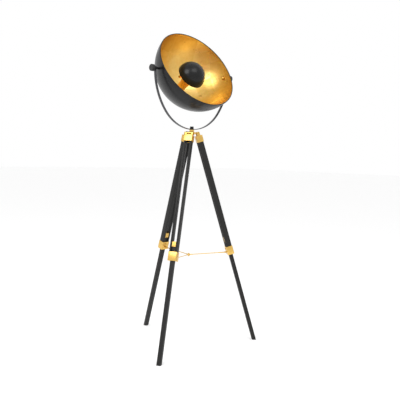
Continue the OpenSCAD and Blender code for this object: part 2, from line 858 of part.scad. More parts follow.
// a slotted screw that presses on the lower leg through the collar
module clamp_screw(i) {
    head_h = 3;
    shank_l = box_d / 2 - bar_d / 2 - bar_clear / 2;
    color(brass) on_leg(i)
        translate([0, -box_d / 2 - seat_gap, -clamp_s]) rotate([90, 0, 0])
            difference() {
                union() {
                    translate([0, 0, thrust_gap]) cylinder(d = clamp_head_d, h = head_h, $fn = 48);
                    translate([0, 0, seat_gap - shank_l]) cylinder(d = clamp_d, h = shank_l + 1, $fn = 48);
                }
                translate([-0.6, -clamp_head_d, head_h - 0.8]) cube([1.2, 2 * clamp_head_d, 2]);
            }
}

module stay_pin(i) {
    color([0.7, 0.6, 0.4]) on_leg(i)
        translate([0, lug_y, -lug_s]) rotate([0, 90, 0])
            cylinder(d = stay_pin_d, h = eye_t + 2 * (thrust_gap + lug_t) + 1, center = true, $fn = 48);
}

// the lower leg's stock from distance s below the hinge to well under the floor
module bar_stock(i, s) {
    low = leg_s + bar_d;
    on_leg(i) translate([0, 0, -low]) linear_extrude(low - s) cut_square(bar_w, bar_d, wood_chamfer);
}

// everything between two heights above the floor
module slab(low, high) {
    reach = 2 * foot_r;
    translate([-reach, -reach, low]) cube([2 * reach, 2 * reach, high - low]);
}

module lower_leg(i) {
    color(dark_wood)
        intersection() {
            bar_stock(i, tip_s + tip_l + seat_gap);
            slab(pad_t + seat_gap, hinge_z);
        }
}

module lower_leg_tip(i) {
    color(brass) on_leg(i)
        cut_block(bar_w, tip_d, -tip_s - tip_l, -tip_s, brass_chamfer);
}

module foot_pad(i) {
    color([0.04, 0.04, 0.04])
        intersection() {
            bar_stock(i, tip_s + tip_l);
            slab(0, pad_t);
        }
}

// one solid stretch of a stay, along x from the centre
module stay_rod(d, low, high) {
    translate([low, 0, 0]) rotate([0, 90, 0]) cylinder(d = d, h = high - low, $fn = 48);
}

// a wire stay with crimped ends, from the centre knob to the pin on a leg's collar
module spreader_stay(i) {
    flat_l = stay_end + 1;
    color(brass) at_axis()
        rotate([0, 0, LEG_TURN[i]]) translate([0, 0, centre_z]) rotate([0, -stay_rise, 0])
            difference() {
                union() {
                    stay_rod(ferrule_d, stay_start, stay_start + ferrule_l / 2);
                    stay_rod(stay_d, stay_start + 1, stay_l - stay_end - 1);
                    stay_rod(ferrule_d, stay_l - stay_end - ferrule_l, stay_l - stay_end);
                    translate([stay_l, 0, 0]) rotate([90, 0, 0])
                        cylinder(d = eye_d - 0.6, h = eye_t, center = true, $fn = 48);
                    translate([stay_l - flat_l, -eye_t / 2, -stay_d / 2])
                        cube([flat_l - stay_pin_d / 2, eye_t, stay_d]);
                }
                translate([stay_l, 0, 0]) rotate([90, 0, 0])
                    cylinder(d = stay_pin_d + 2 * run_fit, h = 2 * eye_d, center = true, $fn = 48);
            }
}

// the turned knob between the stays, with a small drop under it
module spreader_knob() {
    drop_h = 4;
    color(brass) at_axis()
        translate([0, 0, centre_z])
            difference() {
                union() {
                    sphere(d = centre_d);
                    translate([0, 0, 1.5 - centre_d / 2 - drop_h])
                        cylinder(d1 = 3, d2 = 5, h = drop_h, $fn = 48);
                    translate([0, 0, centre_d / 2 - 1.5]) cylinder(d = 6, h = 2.5, $fn = 48);
                }
                for (turn = LEG_TURN)
                    rotate([0, 0, turn]) rotate([0, -stay_rise, 0])
                        stay_rod(ferrule_d + 2 * seat_gap, stay_start - seat_gap, centre_d);
            }
}

hub();
swivel_stud();
swivel_nut();
yoke();
yoke_washers();
bowl_shell();
gold_lining();
glare_cap();
cap_lining();
cap_bracket();
bracket_screws();
holder_sleeve();
lamp_holder();
lamp_contacts();
bulb_glass();
bulb_base();
threaded_tube();
back_cover();
cable_gland();
pivot_spacers();
pivot_bolts();
inner_washers();
tilt_knob(-1);  // tilt_knob_left
tilt_knob(1);  // tilt_knob_right
spreader_knob();
for (i = [0:2]) {
    leg_cap(i);
    leg_rails(i);
    leg_collar(i);
    hinge_pin(i);
    leg_fasteners(i);
    clamp_screw(i);
    stay_pin(i);
    lower_leg(i);
    lower_leg_tip(i);
    foot_pad(i);
    spreader_stay(i);
}
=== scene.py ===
"""Looks of the tripod floor lamp: every visible piece and finish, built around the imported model.

Each sub-assembly is a class with its sizes in metres and methods that build and dress its pieces.
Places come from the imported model: its joints give the legs' hinges and the tilt axis, and its
mounts give the bowl's axis.
"""

import json
import logging
import math
from collections.abc import Iterable, Sequence
from dataclasses import dataclass
from enum import Enum

import bmesh
import bpy
from mathutils import Matrix, Vector


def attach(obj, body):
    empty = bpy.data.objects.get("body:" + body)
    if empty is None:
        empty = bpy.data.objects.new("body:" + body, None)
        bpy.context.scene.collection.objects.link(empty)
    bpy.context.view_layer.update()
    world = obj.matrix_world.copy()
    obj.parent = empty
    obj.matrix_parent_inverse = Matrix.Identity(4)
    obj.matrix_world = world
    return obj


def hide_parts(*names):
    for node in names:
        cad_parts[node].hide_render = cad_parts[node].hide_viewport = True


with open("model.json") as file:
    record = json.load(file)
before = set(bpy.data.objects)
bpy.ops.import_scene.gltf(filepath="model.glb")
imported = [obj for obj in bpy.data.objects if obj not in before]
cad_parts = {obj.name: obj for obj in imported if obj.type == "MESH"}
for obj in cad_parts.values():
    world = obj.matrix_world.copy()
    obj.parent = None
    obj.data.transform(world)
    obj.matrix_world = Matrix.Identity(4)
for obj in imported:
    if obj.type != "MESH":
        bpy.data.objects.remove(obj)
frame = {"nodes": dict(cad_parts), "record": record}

LOG = logging.getLogger("tripod_lamp")
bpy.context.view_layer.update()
MM = 0.001
# edges bent more than this stay sharp
SHARP_EDGE = math.radians(38)
STRIP_EDGE = math.radians(40)

Point2 = tuple[float, float]
Colour = tuple[float, float, float]
Loop = list[Vector]


# ---------------------------------------------------------------- shapes


def arc(centre: Point2, radius: float, start: float, end: float, steps: int) -> list[Point2]:
    """Points on an arc in the plane.

    Args:
        centre: The arc's centre.
        radius: Its radius.
        start: First angle, in degrees.
        end: Last angle, in degrees.
        steps: How many stretches it has.

    Returns:
        The points, steps + 1 of them.
    """
    angles = (math.radians(start + (end - start) * i / steps) for i in range(steps + 1))
    return [(centre[0] + radius * math.cos(a), centre[1] + radius * math.sin(a)) for a in angles]


def rounded(
    points: Sequence[Point2], radius: float, steps: int = 4, closed: bool = False
) -> list[Point2]:
    """Rounds the inner corners of an outline.

    Args:
        points: The outline's corners.
        radius: The rounding, shortened where a side is short.
        steps: Stretches in each rounded corner.
        closed: Whether the last corner joins the first.

    Returns:
        The outline with its corners rounded.
    """
    result: list[Point2] = []
    count = len(points)
    for i, (x, y) in enumerate(points):
        if not closed and i in (0, count - 1):
            result.append((x, y))
            continue
        corner = Vector((x, y))
        before = Vector(points[i - 1]) - corner
        after = Vector(points[(i + 1) % count]) - corner
        reach = min(radius, 0.45 * before.length, 0.45 * after.length)
        first = corner + before.normalized() * reach
        last = corner + after.normalized() * reach
        for step in range(steps + 1):
            t = step / steps
            bend = first * (1 - t) ** 2 + corner * 2 * t * (1 - t) + last * t * t
            result.append((bend.x, bend.y))
    return result


def show(name: str, data: bpy.types.ID) -> bpy.types.Object:
    """Makes an object from a mesh, light or camera, and links it to the scene."""
    piece = bpy.data.objects.new(name, data)
    bpy.context.scene.collection.objects.link(piece)
    return piece


def link_mesh(name: str, points: Sequence[Vector], faces: Sequence[Sequence[int]]) -> bpy.types.Object:
    """Makes an object from points and faces, with its faces turned outwards and shaded smooth.

    Args:
        name: The piece's name.
        points: Its corners.
        faces: Its faces, as indices into the points.

    Returns:
        The new object, linked to the scene.
    """
    mesh = bpy.data.meshes.new(name)
    mesh.from_pydata([tuple(p) for p in points], [], [tuple(f) for f in faces])
    shape = bmesh.new()
    shape.from_mesh(mesh)
    bmesh.ops.recalc_face_normals(shape, faces=shape.faces)
    for face in shape.faces:
        face.smooth = True
    shape.to_mesh(mesh)
    shape.free()
    mesh.set_sharp_from_angle(angle=SHARP_EDGE)
    return show(name, mesh)


def skin(name: str, loops: Sequence[Loop], closed: bool = False) -> bpy.types.Object:
    """Joins loops of equally many points with a skin of quads.

    Args:
        name: The piece's name.
        loops: The loops, in order along the piece.
        closed: Whether the last loop joins the first; otherwise both ends get a face.

    Returns:
        The new object.
    """
    around = len(loops[0])
    points = [p for loop in loops for p in loop]
    faces: list[list[int]] = []
    for i in range(len(loops) if closed else len(loops) - 1):
        low, high = i * around, (i + 1) % len(loops) * around
        for k in range(around):
            nxt = (k + 1) % around
            faces.append([low + k, low + nxt, high + nxt, high + k])
    if not closed:
        faces.append(list(range(around)))
        faces.append([len(points) - around + k for k in range(around)])
    return link_mesh(name, points, faces)


def lathe(name: str, profile: Sequence[Point2], segments: int = 96, closed: bool = False) -> bpy.types.Object:
    """Turns a profile round the z axis.

    Args:
        name: The piece's name.
        profile: Points of (radius, height); an end with no radius becomes a pole.
        segments: Stretches round the axis.
        closed: Whether the profile's last point joins its first, as on a ring.

    Returns:
        The new object, with its axis on z.
    """
    points: list[Vector] = []
    rows: list[list[int]] = []
    for radius, height in profile:
        if radius < 1e-7:
            rows.append([len(points)] * segments)
            points.append(Vector((0, 0, height)))
            continue
        rows.append([len(points) + k for k in range(segments)])
        for k in range(segments):
            turn = 2 * math.pi * k / segments
            points.append(Vector((radius * math.cos(turn), radius * math.sin(turn), height)))
    faces: list[list[int]] = []
    pairs = list(zip(rows, rows[1:] + (rows[:1] if closed else [])))
    for low, high in pairs:
        for k in range(segments):
            nxt = (k + 1) % segments
            corners = [low[k], low[nxt], high[nxt], high[k]]
            face = [c for j, c in enumerate(corners) if c not in corners[:j]]
            if len(face) > 2:
                faces.append(face)
    return link_mesh(name, points, faces)


def block_loop(width: float, depth: float, height: float, corner: float, steps: int = 4) -> Loop:
    """A rounded rectangle at one height, counter-clockwise from its first corner.

    Args:
        width: Its size along x.
        depth: Its size along y.
        height: Its place along z.
        corner: The radius of its corners.
        steps: Stretches in each corner.

    Returns:
        The loop's points.
    """
    x, y = width / 2 - corner, depth / 2 - corner
    centres = ((x, y, 0), (-x, y, 90), (-x, -y, 180), (x, -y, 270))
    return [
        Vector((px, py, height))
        for cx, cy, turn in centres
        for px, py in arc((cx, cy), corner, turn, turn + 90, steps)
    ]


def block_loops(size: Point2, low: float, high: float, corner: float, edge: float) -> list[Loop]:
    """Loops of a block whose upright corners and whose two ends are rounded.

    Args:
        size: Width and depth.
        low: Height of its underside.
        high: Height of its top.
        corner: Radius of the upright corners.
        edge: Radius of the edges round both ends.

    Returns:
        The loops from the underside to the top.
    """
    def at(height: float, inset: float) -> Loop:
        round_off = max(corner - inset, corner * 0.25)
        return block_loop(size[0] - 2 * inset, size[1] - 2 * inset, height, round_off)

    quarter = arc((0, 0), edge, 0, 90, 3)
    lower = [at(low + edge - y, edge - x) for x, y in reversed(quarter)]
    upper = [at(high - edge + y, edge - x) for x, y in quarter]
    return lower + upper


def place(piece: bpy.types.Object, matrix: Matrix) -> bpy.types.Object:
    """Moves a piece's mesh to where it belongs, so that its object stays at the origin."""
    piece.data.transform(matrix)
    if matrix.determinant() < 0:
        piece.data.flip_normals()
    return piece


def joined(name: str, pieces: Sequence[bpy.types.Object]) -> bpy.types.Object:
    """Joins several closed shells into one piece.

    Args:
        name: The name of the joined piece.
        pieces: The shells; their objects are removed.

    Returns:
        The joined piece.
    """
    shape = bmesh.new()
    for piece in pieces:
        shape.from_mesh(piece.data)
    mesh = bpy.data.meshes.new(name)
    for material in pieces[0].data.materials:
        mesh.materials.append(material)
    shape.to_mesh(mesh)
    shape.free()
    for piece in pieces:
        bpy.data.objects.remove(piece)
    return show(name, mesh)


def bake_modifiers(piece: bpy.types.Object) -> bpy.types.Object:
    """Turns a piece's modifiers into plain mesh and removes them."""
    bpy.context.view_layer.update()
    graph = bpy.context.evaluated_depsgraph_get()
    final = piece.evaluated_get(graph)
    mesh = bpy.data.meshes.new_from_object(final, preserve_all_data_layers=True, depsgraph=graph)
    piece.modifiers.clear()
    mesh.name = piece.name
    piece.data = mesh
    return piece


# ---------------------------------------------------------------- node trees


class Tree:
    """A thin layer over a node tree that adds nodes and links in one line."""

    def __init__(self, tree: bpy.types.NodeTree) -> None:
        """Wraps the tree.

        Args:
            tree: A shader or geometry node tree.
        """
        self.tree = tree

    def add(
        self, kind: str, feeds: dict[str | int, object] | None = None, **settings: object
    ) -> bpy.types.Node:
        """Adds a node.

        Args:
            kind: The node's type.
            feeds: What goes into its inputs, by name or index: a socket to link, or a value.
            **settings: The node's own properties.

        Returns:
            The node.
        """
        node = self.tree.nodes.new(kind)
        for key, value in settings.items():
            setattr(node, key, value)
        for key, value in (feeds or {}).items():
            self.feed(node.inputs[key], value)
        return node

    def feed(self, socket: bpy.types.NodeSocket, value: object) -> None:
        """Links a socket to another socket, or sets its own value."""
        if isinstance(value, bpy.types.NodeSocket):
            self.tree.links.new(value, socket)
        else:
            socket.default_value = value

    def math(self, operation: str, a: object, b: object = 0.0) -> bpy.types.NodeSocket:
        """A Math node's result."""
        return self.add("ShaderNodeMath", {0: a, 1: b}, operation=operation).outputs[0]

    def ramp(self, value: object, low: float, high: float) -> bpy.types.NodeSocket:
        """A smooth step from 0 at low to 1 at high."""
        feeds = {"Value": value, "From Min": low, "From Max": high}
        return self.add("ShaderNodeMapRange", feeds, interpolation_type="SMOOTHSTEP").outputs["Result"]

    def group_input(self, name: str) -> bpy.types.NodeSocket:
        """One of the group's own inputs."""
        node = next((n for n in self.tree.nodes if n.bl_idname == "NodeGroupInput"), None)
        node = node or self.add("NodeGroupInput")
        return node.outputs[name]

    def put_out(self, **values: object) -> None:
        """Adds the group's output node and feeds its sockets by name."""
        self.add("NodeGroupOutput", values)


@dataclass(frozen=True)
class Socket:
    """A named input or output of a node group, with its starting value."""

    name: str
    kind: str = "NodeSocketFloat"
    value: object = None


def new_group(
    name: str, kind: str, inputs: Iterable[Socket], outputs: Iterable[Socket]
) -> bpy.types.NodeTree:
    """Makes an empty node group with named sockets.

    Args:
        name: The group's name.
        kind: ShaderNodeTree or GeometryNodeTree.
        inputs: Its inputs.
        outputs: Its outputs.

    Returns:
        The new group.
    """
    group = bpy.data.node_groups.new(name, kind)
    for way, sockets in (("INPUT", inputs), ("OUTPUT", outputs)):
        for item in sockets:
            socket = group.interface.new_socket(name=item.name, in_out=way, socket_type=item.kind)
            if item.value is not None:
                socket.default_value = item.value
    return group


class Effects:
    """Shader node groups that several finishes share. They put out masks, colours and heights only."""

    def __init__(self) -> None:
        """Builds every group once."""
        self.grime = self._grime()
        self.scratches = self._scratches()
        self.peel = self._peel()
        self.grain = self._grain()
        self.leaf = self._leaf()

    @staticmethod
    def _group(name: str, size: Socket, *results: str) -> Tree:
        """An empty group that takes a vector and a size and puts out numbers."""
        inputs = [Socket("Vector", "NodeSocketVector"), size]
        return Tree(new_group(name, "ShaderNodeTree", inputs, [Socket(result) for result in results]))

    @staticmethod
    def _noise(
        tree: Tree, vector: object, scale: object, detail: float, roughness: float = 0.5
    ) -> bpy.types.NodeSocket:
        """A noise texture's value at a vector."""
        feeds = {"Vector": vector, "Scale": scale, "Detail": detail, "Roughness": roughness}
        return tree.add("ShaderNodeTexNoise", feeds).outputs["Fac"]

    @staticmethod
    def _mixed(tree: Tree, first: object, share: float, second: object) -> bpy.types.NodeSocket:
        """A sum of two values, the first with its share and the second with the rest."""
        rest = tree.math("MULTIPLY", second, 1.0 - share)
        return tree.math("ADD", tree.math("MULTIPLY", first, share), rest)

    @staticmethod
    def _stretched(tree: Tree, scale: Colour, turn: Colour = (0.0, 0.0, 0.0)) -> bpy.types.NodeSocket:
        """The group's vector, turned and squeezed so that a pattern runs out along it."""
        feeds = {"Vector": tree.group_input("Vector"), "Rotation": turn, "Scale": scale}
        return tree.add("ShaderNodeMapping", feeds).outputs[0]

    def _grime(self) -> bpy.types.NodeTree:
        """Faint smears and dust: a low, uneven mask."""
        tree = self._group("handling_smears", Socket("Scale", value=18.0), "Mask")
        vector, scale = tree.group_input("Vector"), tree.group_input("Scale")
        broad = self._noise(tree, vector, scale, 4.0, 0.6)
        fine = self._noise(tree, vector, tree.math("MULTIPLY", scale, 9.0), 3.0, 0.55)
        tree.put_out(Mask=tree.ramp(self._mixed(tree, broad, 0.7, fine), 0.38, 0.66))
        return tree.tree

    def _scratches(self) -> bpy.types.NodeTree:
        """Hairlines from polishing cloths: thin, stretched streaks in two directions."""
        tree = self._group("polishing_hairlines", Socket("Scale", value=900.0), "Height", "Mask")
        streaks = [
            self._noise(tree, self._stretched(tree, (1.0, 0.06, 0.06), turn), tree.group_input("Scale"), 2.0)
            for turn in ((0.3, 0.2, 0.5), (0.9, -0.4, 1.9))
        ]
        height = tree.math("ADD", streaks[0], streaks[1])
        tree.put_out(Height=height, Mask=tree.ramp(height, 0.9, 1.25))
        return tree.tree

    def _peel(self) -> bpy.types.NodeTree:
        """The slight orange peel of sprayed paint, with a few specks of dust under it."""
        tree = self._group("sprayed_paint", Socket("Scale", value=420.0), "Height", "Specks")
        vector, scale = tree.group_input("Vector"), tree.group_input("Scale")
        waves = self._noise(tree, vector, scale, 1.5)
        feeds = {"Vector": vector, "Scale": tree.math("MULTIPLY", scale, 0.4)}
        cells = tree.add("ShaderNodeTexVoronoi", feeds, feature="F1")
        near = tree.ramp(cells.outputs["Distance"], 0.11, 0.03)
        chosen = tree.ramp(self._noise(tree, cells.outputs["Position"], 31.0, 0.0), 0.66, 0.7)
        tree.put_out(Height=waves, Specks=tree.math("MULTIPLY", near, chosen))
        return tree.tree

    def _grain(self) -> bpy.types.NodeTree:
        """Open wood grain under stain, along the second texture axis."""
        size = Socket("Scale", value=1.0)
        tree = self._group("stained_grain", size, "Tone", "Height", "Pores")
        along = self._stretched(tree, (1.0, 0.035, 1.0))
        wander = self._noise(tree, along, 160.0, 5.0, 0.6)
        feeds = {"Vector": along, "Scale": 60.0, "Distortion": 9.0, "Detail": 3.0, "Detail Scale": 1.4}
        bands = tree.add("ShaderNodeTexWave", feeds, wave_type="BANDS", bands_direction="X")
        fine = self._noise(tree, self._stretched(tree, (1.0, 0.02, 1.0)), 1500.0, 3.0, 0.7)
        pores = tree.ramp(fine, 0.6, 0.72)
        tone = self._mixed(tree, bands.outputs["Fac"], 0.45, wander)
        sunk = tree.math("MULTIPLY", pores, 0.8)
        height = tree.math("SUBTRACT", tree.math("MULTIPLY", tone, 0.5), sunk)
        tree.put_out(Tone=tone, Height=height, Pores=pores)
        return tree.tree

    def _leaf(self) -> bpy.types.NodeTree:
        """Sheets of gold leaf: squares with their own tone, lapped seams, wrinkles and thin spots."""
        size = Socket("Sheet", value=12.5)
        tree = self._group("laid_leaf", size, "Tone", "Height", "Seam", "Thin")
        vector = tree.group_input("Vector")
        wobble = tree.add("ShaderNodeTexNoise", {"Vector": vector, "Scale": 14.0, "Detail": 3.0})
        feeds = {0: wobble.outputs["Color"], 1: (0.016, 0.016, 0.0), 2: vector}
        shifted = tree.add("ShaderNodeVectorMath", feeds, operation="MULTIPLY_ADD").outputs[0]
        feeds = {"Vector": shifted, "Scale": tree.group_input("Sheet"), "Randomness": 0.28}
        sheets = tree.add("ShaderNodeTexVoronoi", feeds, distance="CHEBYCHEV", feature="F1")
        tint = tree.add("ShaderNodeSeparateColor", {0: sheets.outputs["Color"]})
        seam = tree.ramp(sheets.outputs["Distance"], 0.43, 0.5)
        crumple = self._noise(tree, shifted, 46.0, 6.0, 0.62)
        fine = self._noise(tree, vector, 340.0, 4.0, 0.6)
        thin = tree.ramp(self._noise(tree, shifted, 21.0, 8.0, 0.75), 0.55, 0.68)
        tone = self._mixed(tree, tint.outputs[0], 0.4, crumple)
        bump = self._mixed(tree, crumple, 0.8, fine)
        height = tree.math("ADD", bump, tree.math("MULTIPLY", seam, 0.25))
        tree.put_out(Tone=tone, Height=height, Seam=seam, Thin=thin)
        return tree.tree


class Coordinates(Enum):
    """What a finish's pattern follows."""

    OBJECT = "Object"
    UV = "UV"


class Finish:
    """A material whose Principled BSDF stands in the material itself."""

    def __init__(self, name: str, coordinates: Coordinates = Coordinates.OBJECT) -> None:
        """Makes the material.

        Args:
            name: The finish's name.
            coordinates: What its pattern follows.
        """
        self.material = bpy.data.materials.new(name)
        self.material.use_nodes = True
        self.tree = Tree(self.material.node_tree)
        self.shader = self.material.node_tree.nodes["Principled BSDF"]
        texture = self.tree.add("ShaderNodeTexCoord")
        self.vector = texture.outputs[coordinates.value]

    def constants(self, **values: object) -> None:
        """Sets values that are the same all over on the shader's own sockets."""
        for key, value in values.items():
            self.shader.inputs[key.replace("_", " ")].default_value = value

    def effect(self, group: bpy.types.NodeTree, **values: object) -> bpy.types.Node:
        """Places a shared effect on the finish's coordinates."""
        node = self.tree.add("ShaderNodeGroup", node_tree=group)
        for key, value in {"Vector": self.vector, **values}.items():
            self.tree.feed(node.inputs[key], value)
        return node

    def blend(self, factor: object, low: object, high: object) -> bpy.types.NodeSocket:
        """A colour between two others."""
        first, second = ((*v, 1.0) if isinstance(v, tuple) else v for v in (low, high))
        node = self.tree.add("ShaderNodeMix", data_type="RGBA")
        for socket, value in zip((node.inputs[0], node.inputs[6], node.inputs[7]), (factor, first, second)):
            self.tree.feed(socket, value)
        return node.outputs[2]

    def between(self, factor: object, low: float, high: float) -> bpy.types.NodeSocket:
        """A number that goes from low to high as the factor goes from 0 to 1."""
        feeds = {"Value": factor, "To Min": low, "To Max": high}
        return self.tree.add("ShaderNodeMapRange", feeds).outputs["Result"]

    def colour(self, socket: object) -> None:
        """Feeds the base colour."""
        self.tree.feed(self.shader.inputs["Base Color"], socket)

    def roughness(self, socket: object) -> None:
        """Feeds the roughness."""
        self.tree.feed(self.shader.inputs["Roughness"], socket)

    def bump(self, height: object, depth: float, strength: float) -> None:
        """Feeds the normal from a height whose full range is depth metres."""
        feeds = {"Height": height, "Distance": depth, "Strength": strength}
        node = self.tree.add("ShaderNodeBump", feeds)
        self.tree.feed(self.shader.inputs["Normal"], node.outputs["Normal"])


@dataclass(frozen=True)
class SatinPaint:
    """Sprayed satin paint on metal."""

    name: str
    colour: Colour
    lighter: Colour
    rough: float
    coat: float
    flake: float = 0.0
    speck: Colour = (0.2, 0.2, 0.2)

    def build(self, effects: Effects) -> bpy.types.Material:
        """Builds the material from the shared effects."""
        finish = Finish(self.name)
        peel = finish.effect(effects.peel)
        grime = finish.effect(effects.grime, Scale=9.0)
        finish.constants(Metallic=self.flake, Specular_IOR_Level=0.24)
        finish.constants(Coat_Weight=self.coat, Coat_Roughness=0.12)
        base = finish.blend(grime.outputs["Mask"], self.colour, self.lighter)
        specks = finish.between(peel.outputs["Specks"], 0.0, 0.25)
        finish.colour(finish.blend(specks, base, self.speck))
        finish.roughness(finish.between(grime.outputs["Mask"], self.rough - 0.04, self.rough + 0.09))
        finish.bump(peel.outputs["Height"], 0.00006, 0.35)
        return finish.material


@dataclass(frozen=True)
class PolishedMetal:
    """Polished and lacquered metal with hairlines and slight tarnish."""

    name: str
    colour: Colour
    tarnish: Colour
    rough: float
    coat: float = 0.15

    def build(self, effects: Effects) -> bpy.types.Material:
        """Builds the material from the shared effects."""
        finish = Finish(self.name)
        hair = finish.effect(effects.scratches)
        grime = finish.effect(effects.grime, Scale=30.0)
        finish.constants(Metallic=1.0, Coat_Weight=self.coat, Coat_Roughness=0.08)
        dulled = finish.between(grime.outputs["Mask"], 0.0, 0.6)
        finish.colour(finish.blend(dulled, self.colour, self.tarnish))
        mixed = finish.tree.math("ADD", hair.outputs["Mask"], grime.outputs["Mask"])
        finish.roughness(finish.between(mixed, self.rough, self.rough + 0.08))
        finish.bump(hair.outputs["Height"], 0.00001, 0.4)
        return finish.material


@dataclass(frozen=True)
class LaidLeaf:
    """Gold leaf laid in sheets over size, then burnished."""

    name: str
    pale: Colour
    deep: Colour
    size_coat: Colour
    rough: float
    sheet: float = 12.5
    coordinates: Coordinates = Coordinates.UV
    relief: float = 0.0009

    def build(self, effects: Effects) -> bpy.types.Material:
        """Builds the material from the shared effects."""
        finish = Finish(self.name, self.coordinates)
        leaf = finish.effect(effects.leaf, Sheet=self.sheet)
        finish.constants(Metallic=1.0)
        gold = finish.blend(leaf.outputs["Tone"], self.deep, self.pale)
        at_seams = finish.between(leaf.outputs["Seam"], 0.25, 0.9)
        worn = finish.tree.math("MULTIPLY", leaf.outputs["Thin"], at_seams)
        finish.colour(finish.blend(worn, gold, self.size_coat))
        finish.roughness(finish.between(leaf.outputs["Tone"], self.rough + 0.1, self.rough - 0.06))
        finish.bump(leaf.outputs["Height"], self.relief, 0.6)
        return finish.material


@dataclass(frozen=True)
class StainedWood:
    """Black satin stain over open-grained wood."""

    name: str
    stain: Colour
    ridge: Colour
    rough: float
    pore: Colour = (0.006, 0.006, 0.006)

    def build(self, effects: Effects) -> bpy.types.Material:
        """Builds the material from the shared effects."""
        finish = Finish(self.name, Coordinates.UV)
        grain = finish.effect(effects.grain)
        grime = finish.effect(effects.grime, Scale=22.0)
        finish.constants(Specular_IOR_Level=0.25, Coat_Weight=0.05, Coat_Roughness=0.3)
        tone = finish.blend(grain.outputs["Tone"], self.stain, self.ridge)
        pores = finish.between(grain.outputs["Pores"], 0.0, 0.8)
        finish.colour(finish.blend(pores, tone, self.pore))
        handled = finish.tree.math("MULTIPLY", grime.outputs["Mask"], 0.5)
        mixed = finish.tree.math("ADD", grain.outputs["Tone"], handled)
        finish.roughness(finish.between(mixed, self.rough, self.rough + 0.12))
        finish.bump(grain.outputs["Height"], 0.00022, 0.55)
        return finish.material


@dataclass(frozen=True)
class Moulded:
    """Moulded plastic or rubber with a fine, even texture."""

    name: str
    colour: Colour
    rough: float
    texture: float = 1800.0
    relief: float = 0.00003

    def build(self, effects: Effects) -> bpy.types.Material:
        """Builds the material from the shared effects."""
        finish = Finish(self.name)
        peel = finish.effect(effects.peel, Scale=self.texture)
        grime = finish.effect(effects.grime, Scale=40.0)
        lighter = tuple(min(1.0, c * 1.7 + 0.006) for c in self.colour)
        finish.colour(finish.blend(grime.outputs["Mask"], self.colour, lighter))
        finish.roughness(finish.between(grime.outputs["Mask"], self.rough, self.rough + 0.12))
        finish.bump(peel.outputs["Height"], self.relief, 0.5)
        return finish.material


@dataclass(frozen=True)
class OpalGlass:
    """Etched opal glass that glows from within."""

    name: str
    colour: Colour
    glow: Colour
    strength: float

    def build(self, effects: Effects) -> bpy.types.Material:
        """Builds the material from the shared effects."""
        finish = Finish(self.name)
        grime = finish.effect(effects.grime, Scale=25.0)
        smears = grime.outputs["Mask"]
        finish.constants(Transmission_Weight=0.0, Subsurface_Weight=0.3, Emission_Strength=self.strength)
        finish.colour(finish.blend(smears, self.colour, tuple(0.96 * c for c in self.colour)))
        dimmer = finish.blend(smears, self.glow, tuple(0.94 * c for c in self.glow))
        finish.tree.feed(finish.shader.inputs["Emission Color"], dimmer)
        finish.roughness(finish.between(smears, 0.22, 0.32))
        return finish.material


class Palette:
    """Every finish on the lamp, by the name of the record's slot."""

    def __init__(self) -> None:
        """Builds the finishes."""
        effects = Effects()
        recipes = {
            "black_paint": SatinPaint(
                "satin_black_paint", (0.004, 0.004, 0.0045), (0.008, 0.008, 0.0085), 0.3, 0.06
            ),
            "gunmetal": SatinPaint(
                "gunmetal_paint", (0.045, 0.045, 0.049), (0.07, 0.07, 0.075), 0.34, 0.2, 0.65
            ),
            "gold_leaf": LaidLeaf(
                "gold_leaf_lining", (0.9, 0.66, 0.27), (0.6, 0.36, 0.045), (0.32, 0.13, 0.025), 0.3
            ),
            # a darker copy of the gold leaf: painted shade, for the shade that falls on the sleeve and
            # bracket behind the glare cap and the dark room that they reflect
            "gold_sheet": LaidLeaf(
                "gold_leaf_fitting", (0.6, 0.33, 0.06), (0.42, 0.2, 0.03), (0.25, 0.1, 0.02), 0.36,
                18.0, Coordinates.OBJECT, 0.0004,
            ),
            "brass": PolishedMetal("polished_brass", (0.78, 0.5, 0.13), (0.5, 0.31, 0.08), 0.24),
            "steel": PolishedMetal("zinc_plate", (0.62, 0.62, 0.64), (0.45, 0.45, 0.47), 0.3, 0.0),
            "aluminium": PolishedMetal("rolled_aluminium", (0.78, 0.78, 0.79), (0.6, 0.6, 0.62), 0.28, 0.0),
            "black_wood": StainedWood(
                "black_stained_wood", (0.006, 0.0058, 0.0056), (0.016, 0.0155, 0.015), 0.4
            ),
            "black_knob": Moulded("moulded_knob", (0.006, 0.006, 0.006), 0.34, 1200.0),
            "black_plastic": Moulded("matt_plastic", (0.016, 0.016, 0.016), 0.5),
            "rubber": Moulded("foot_rubber", (0.02, 0.02, 0.02), 0.7, 900.0, 0.00008),
            "opal_glass": OpalGlass("opal_glass", (0.9, 0.89, 0.85), (1.0, 0.8, 0.52), 3.0),
        }
        self.materials = {slot: recipe.build(effects) for slot, recipe in recipes.items()}

    def __getitem__(self, slot: str) -> bpy.types.Material:
        """The material of a slot."""
        return self.materials[slot]


# ---------------------------------------------------------------- geometry nodes


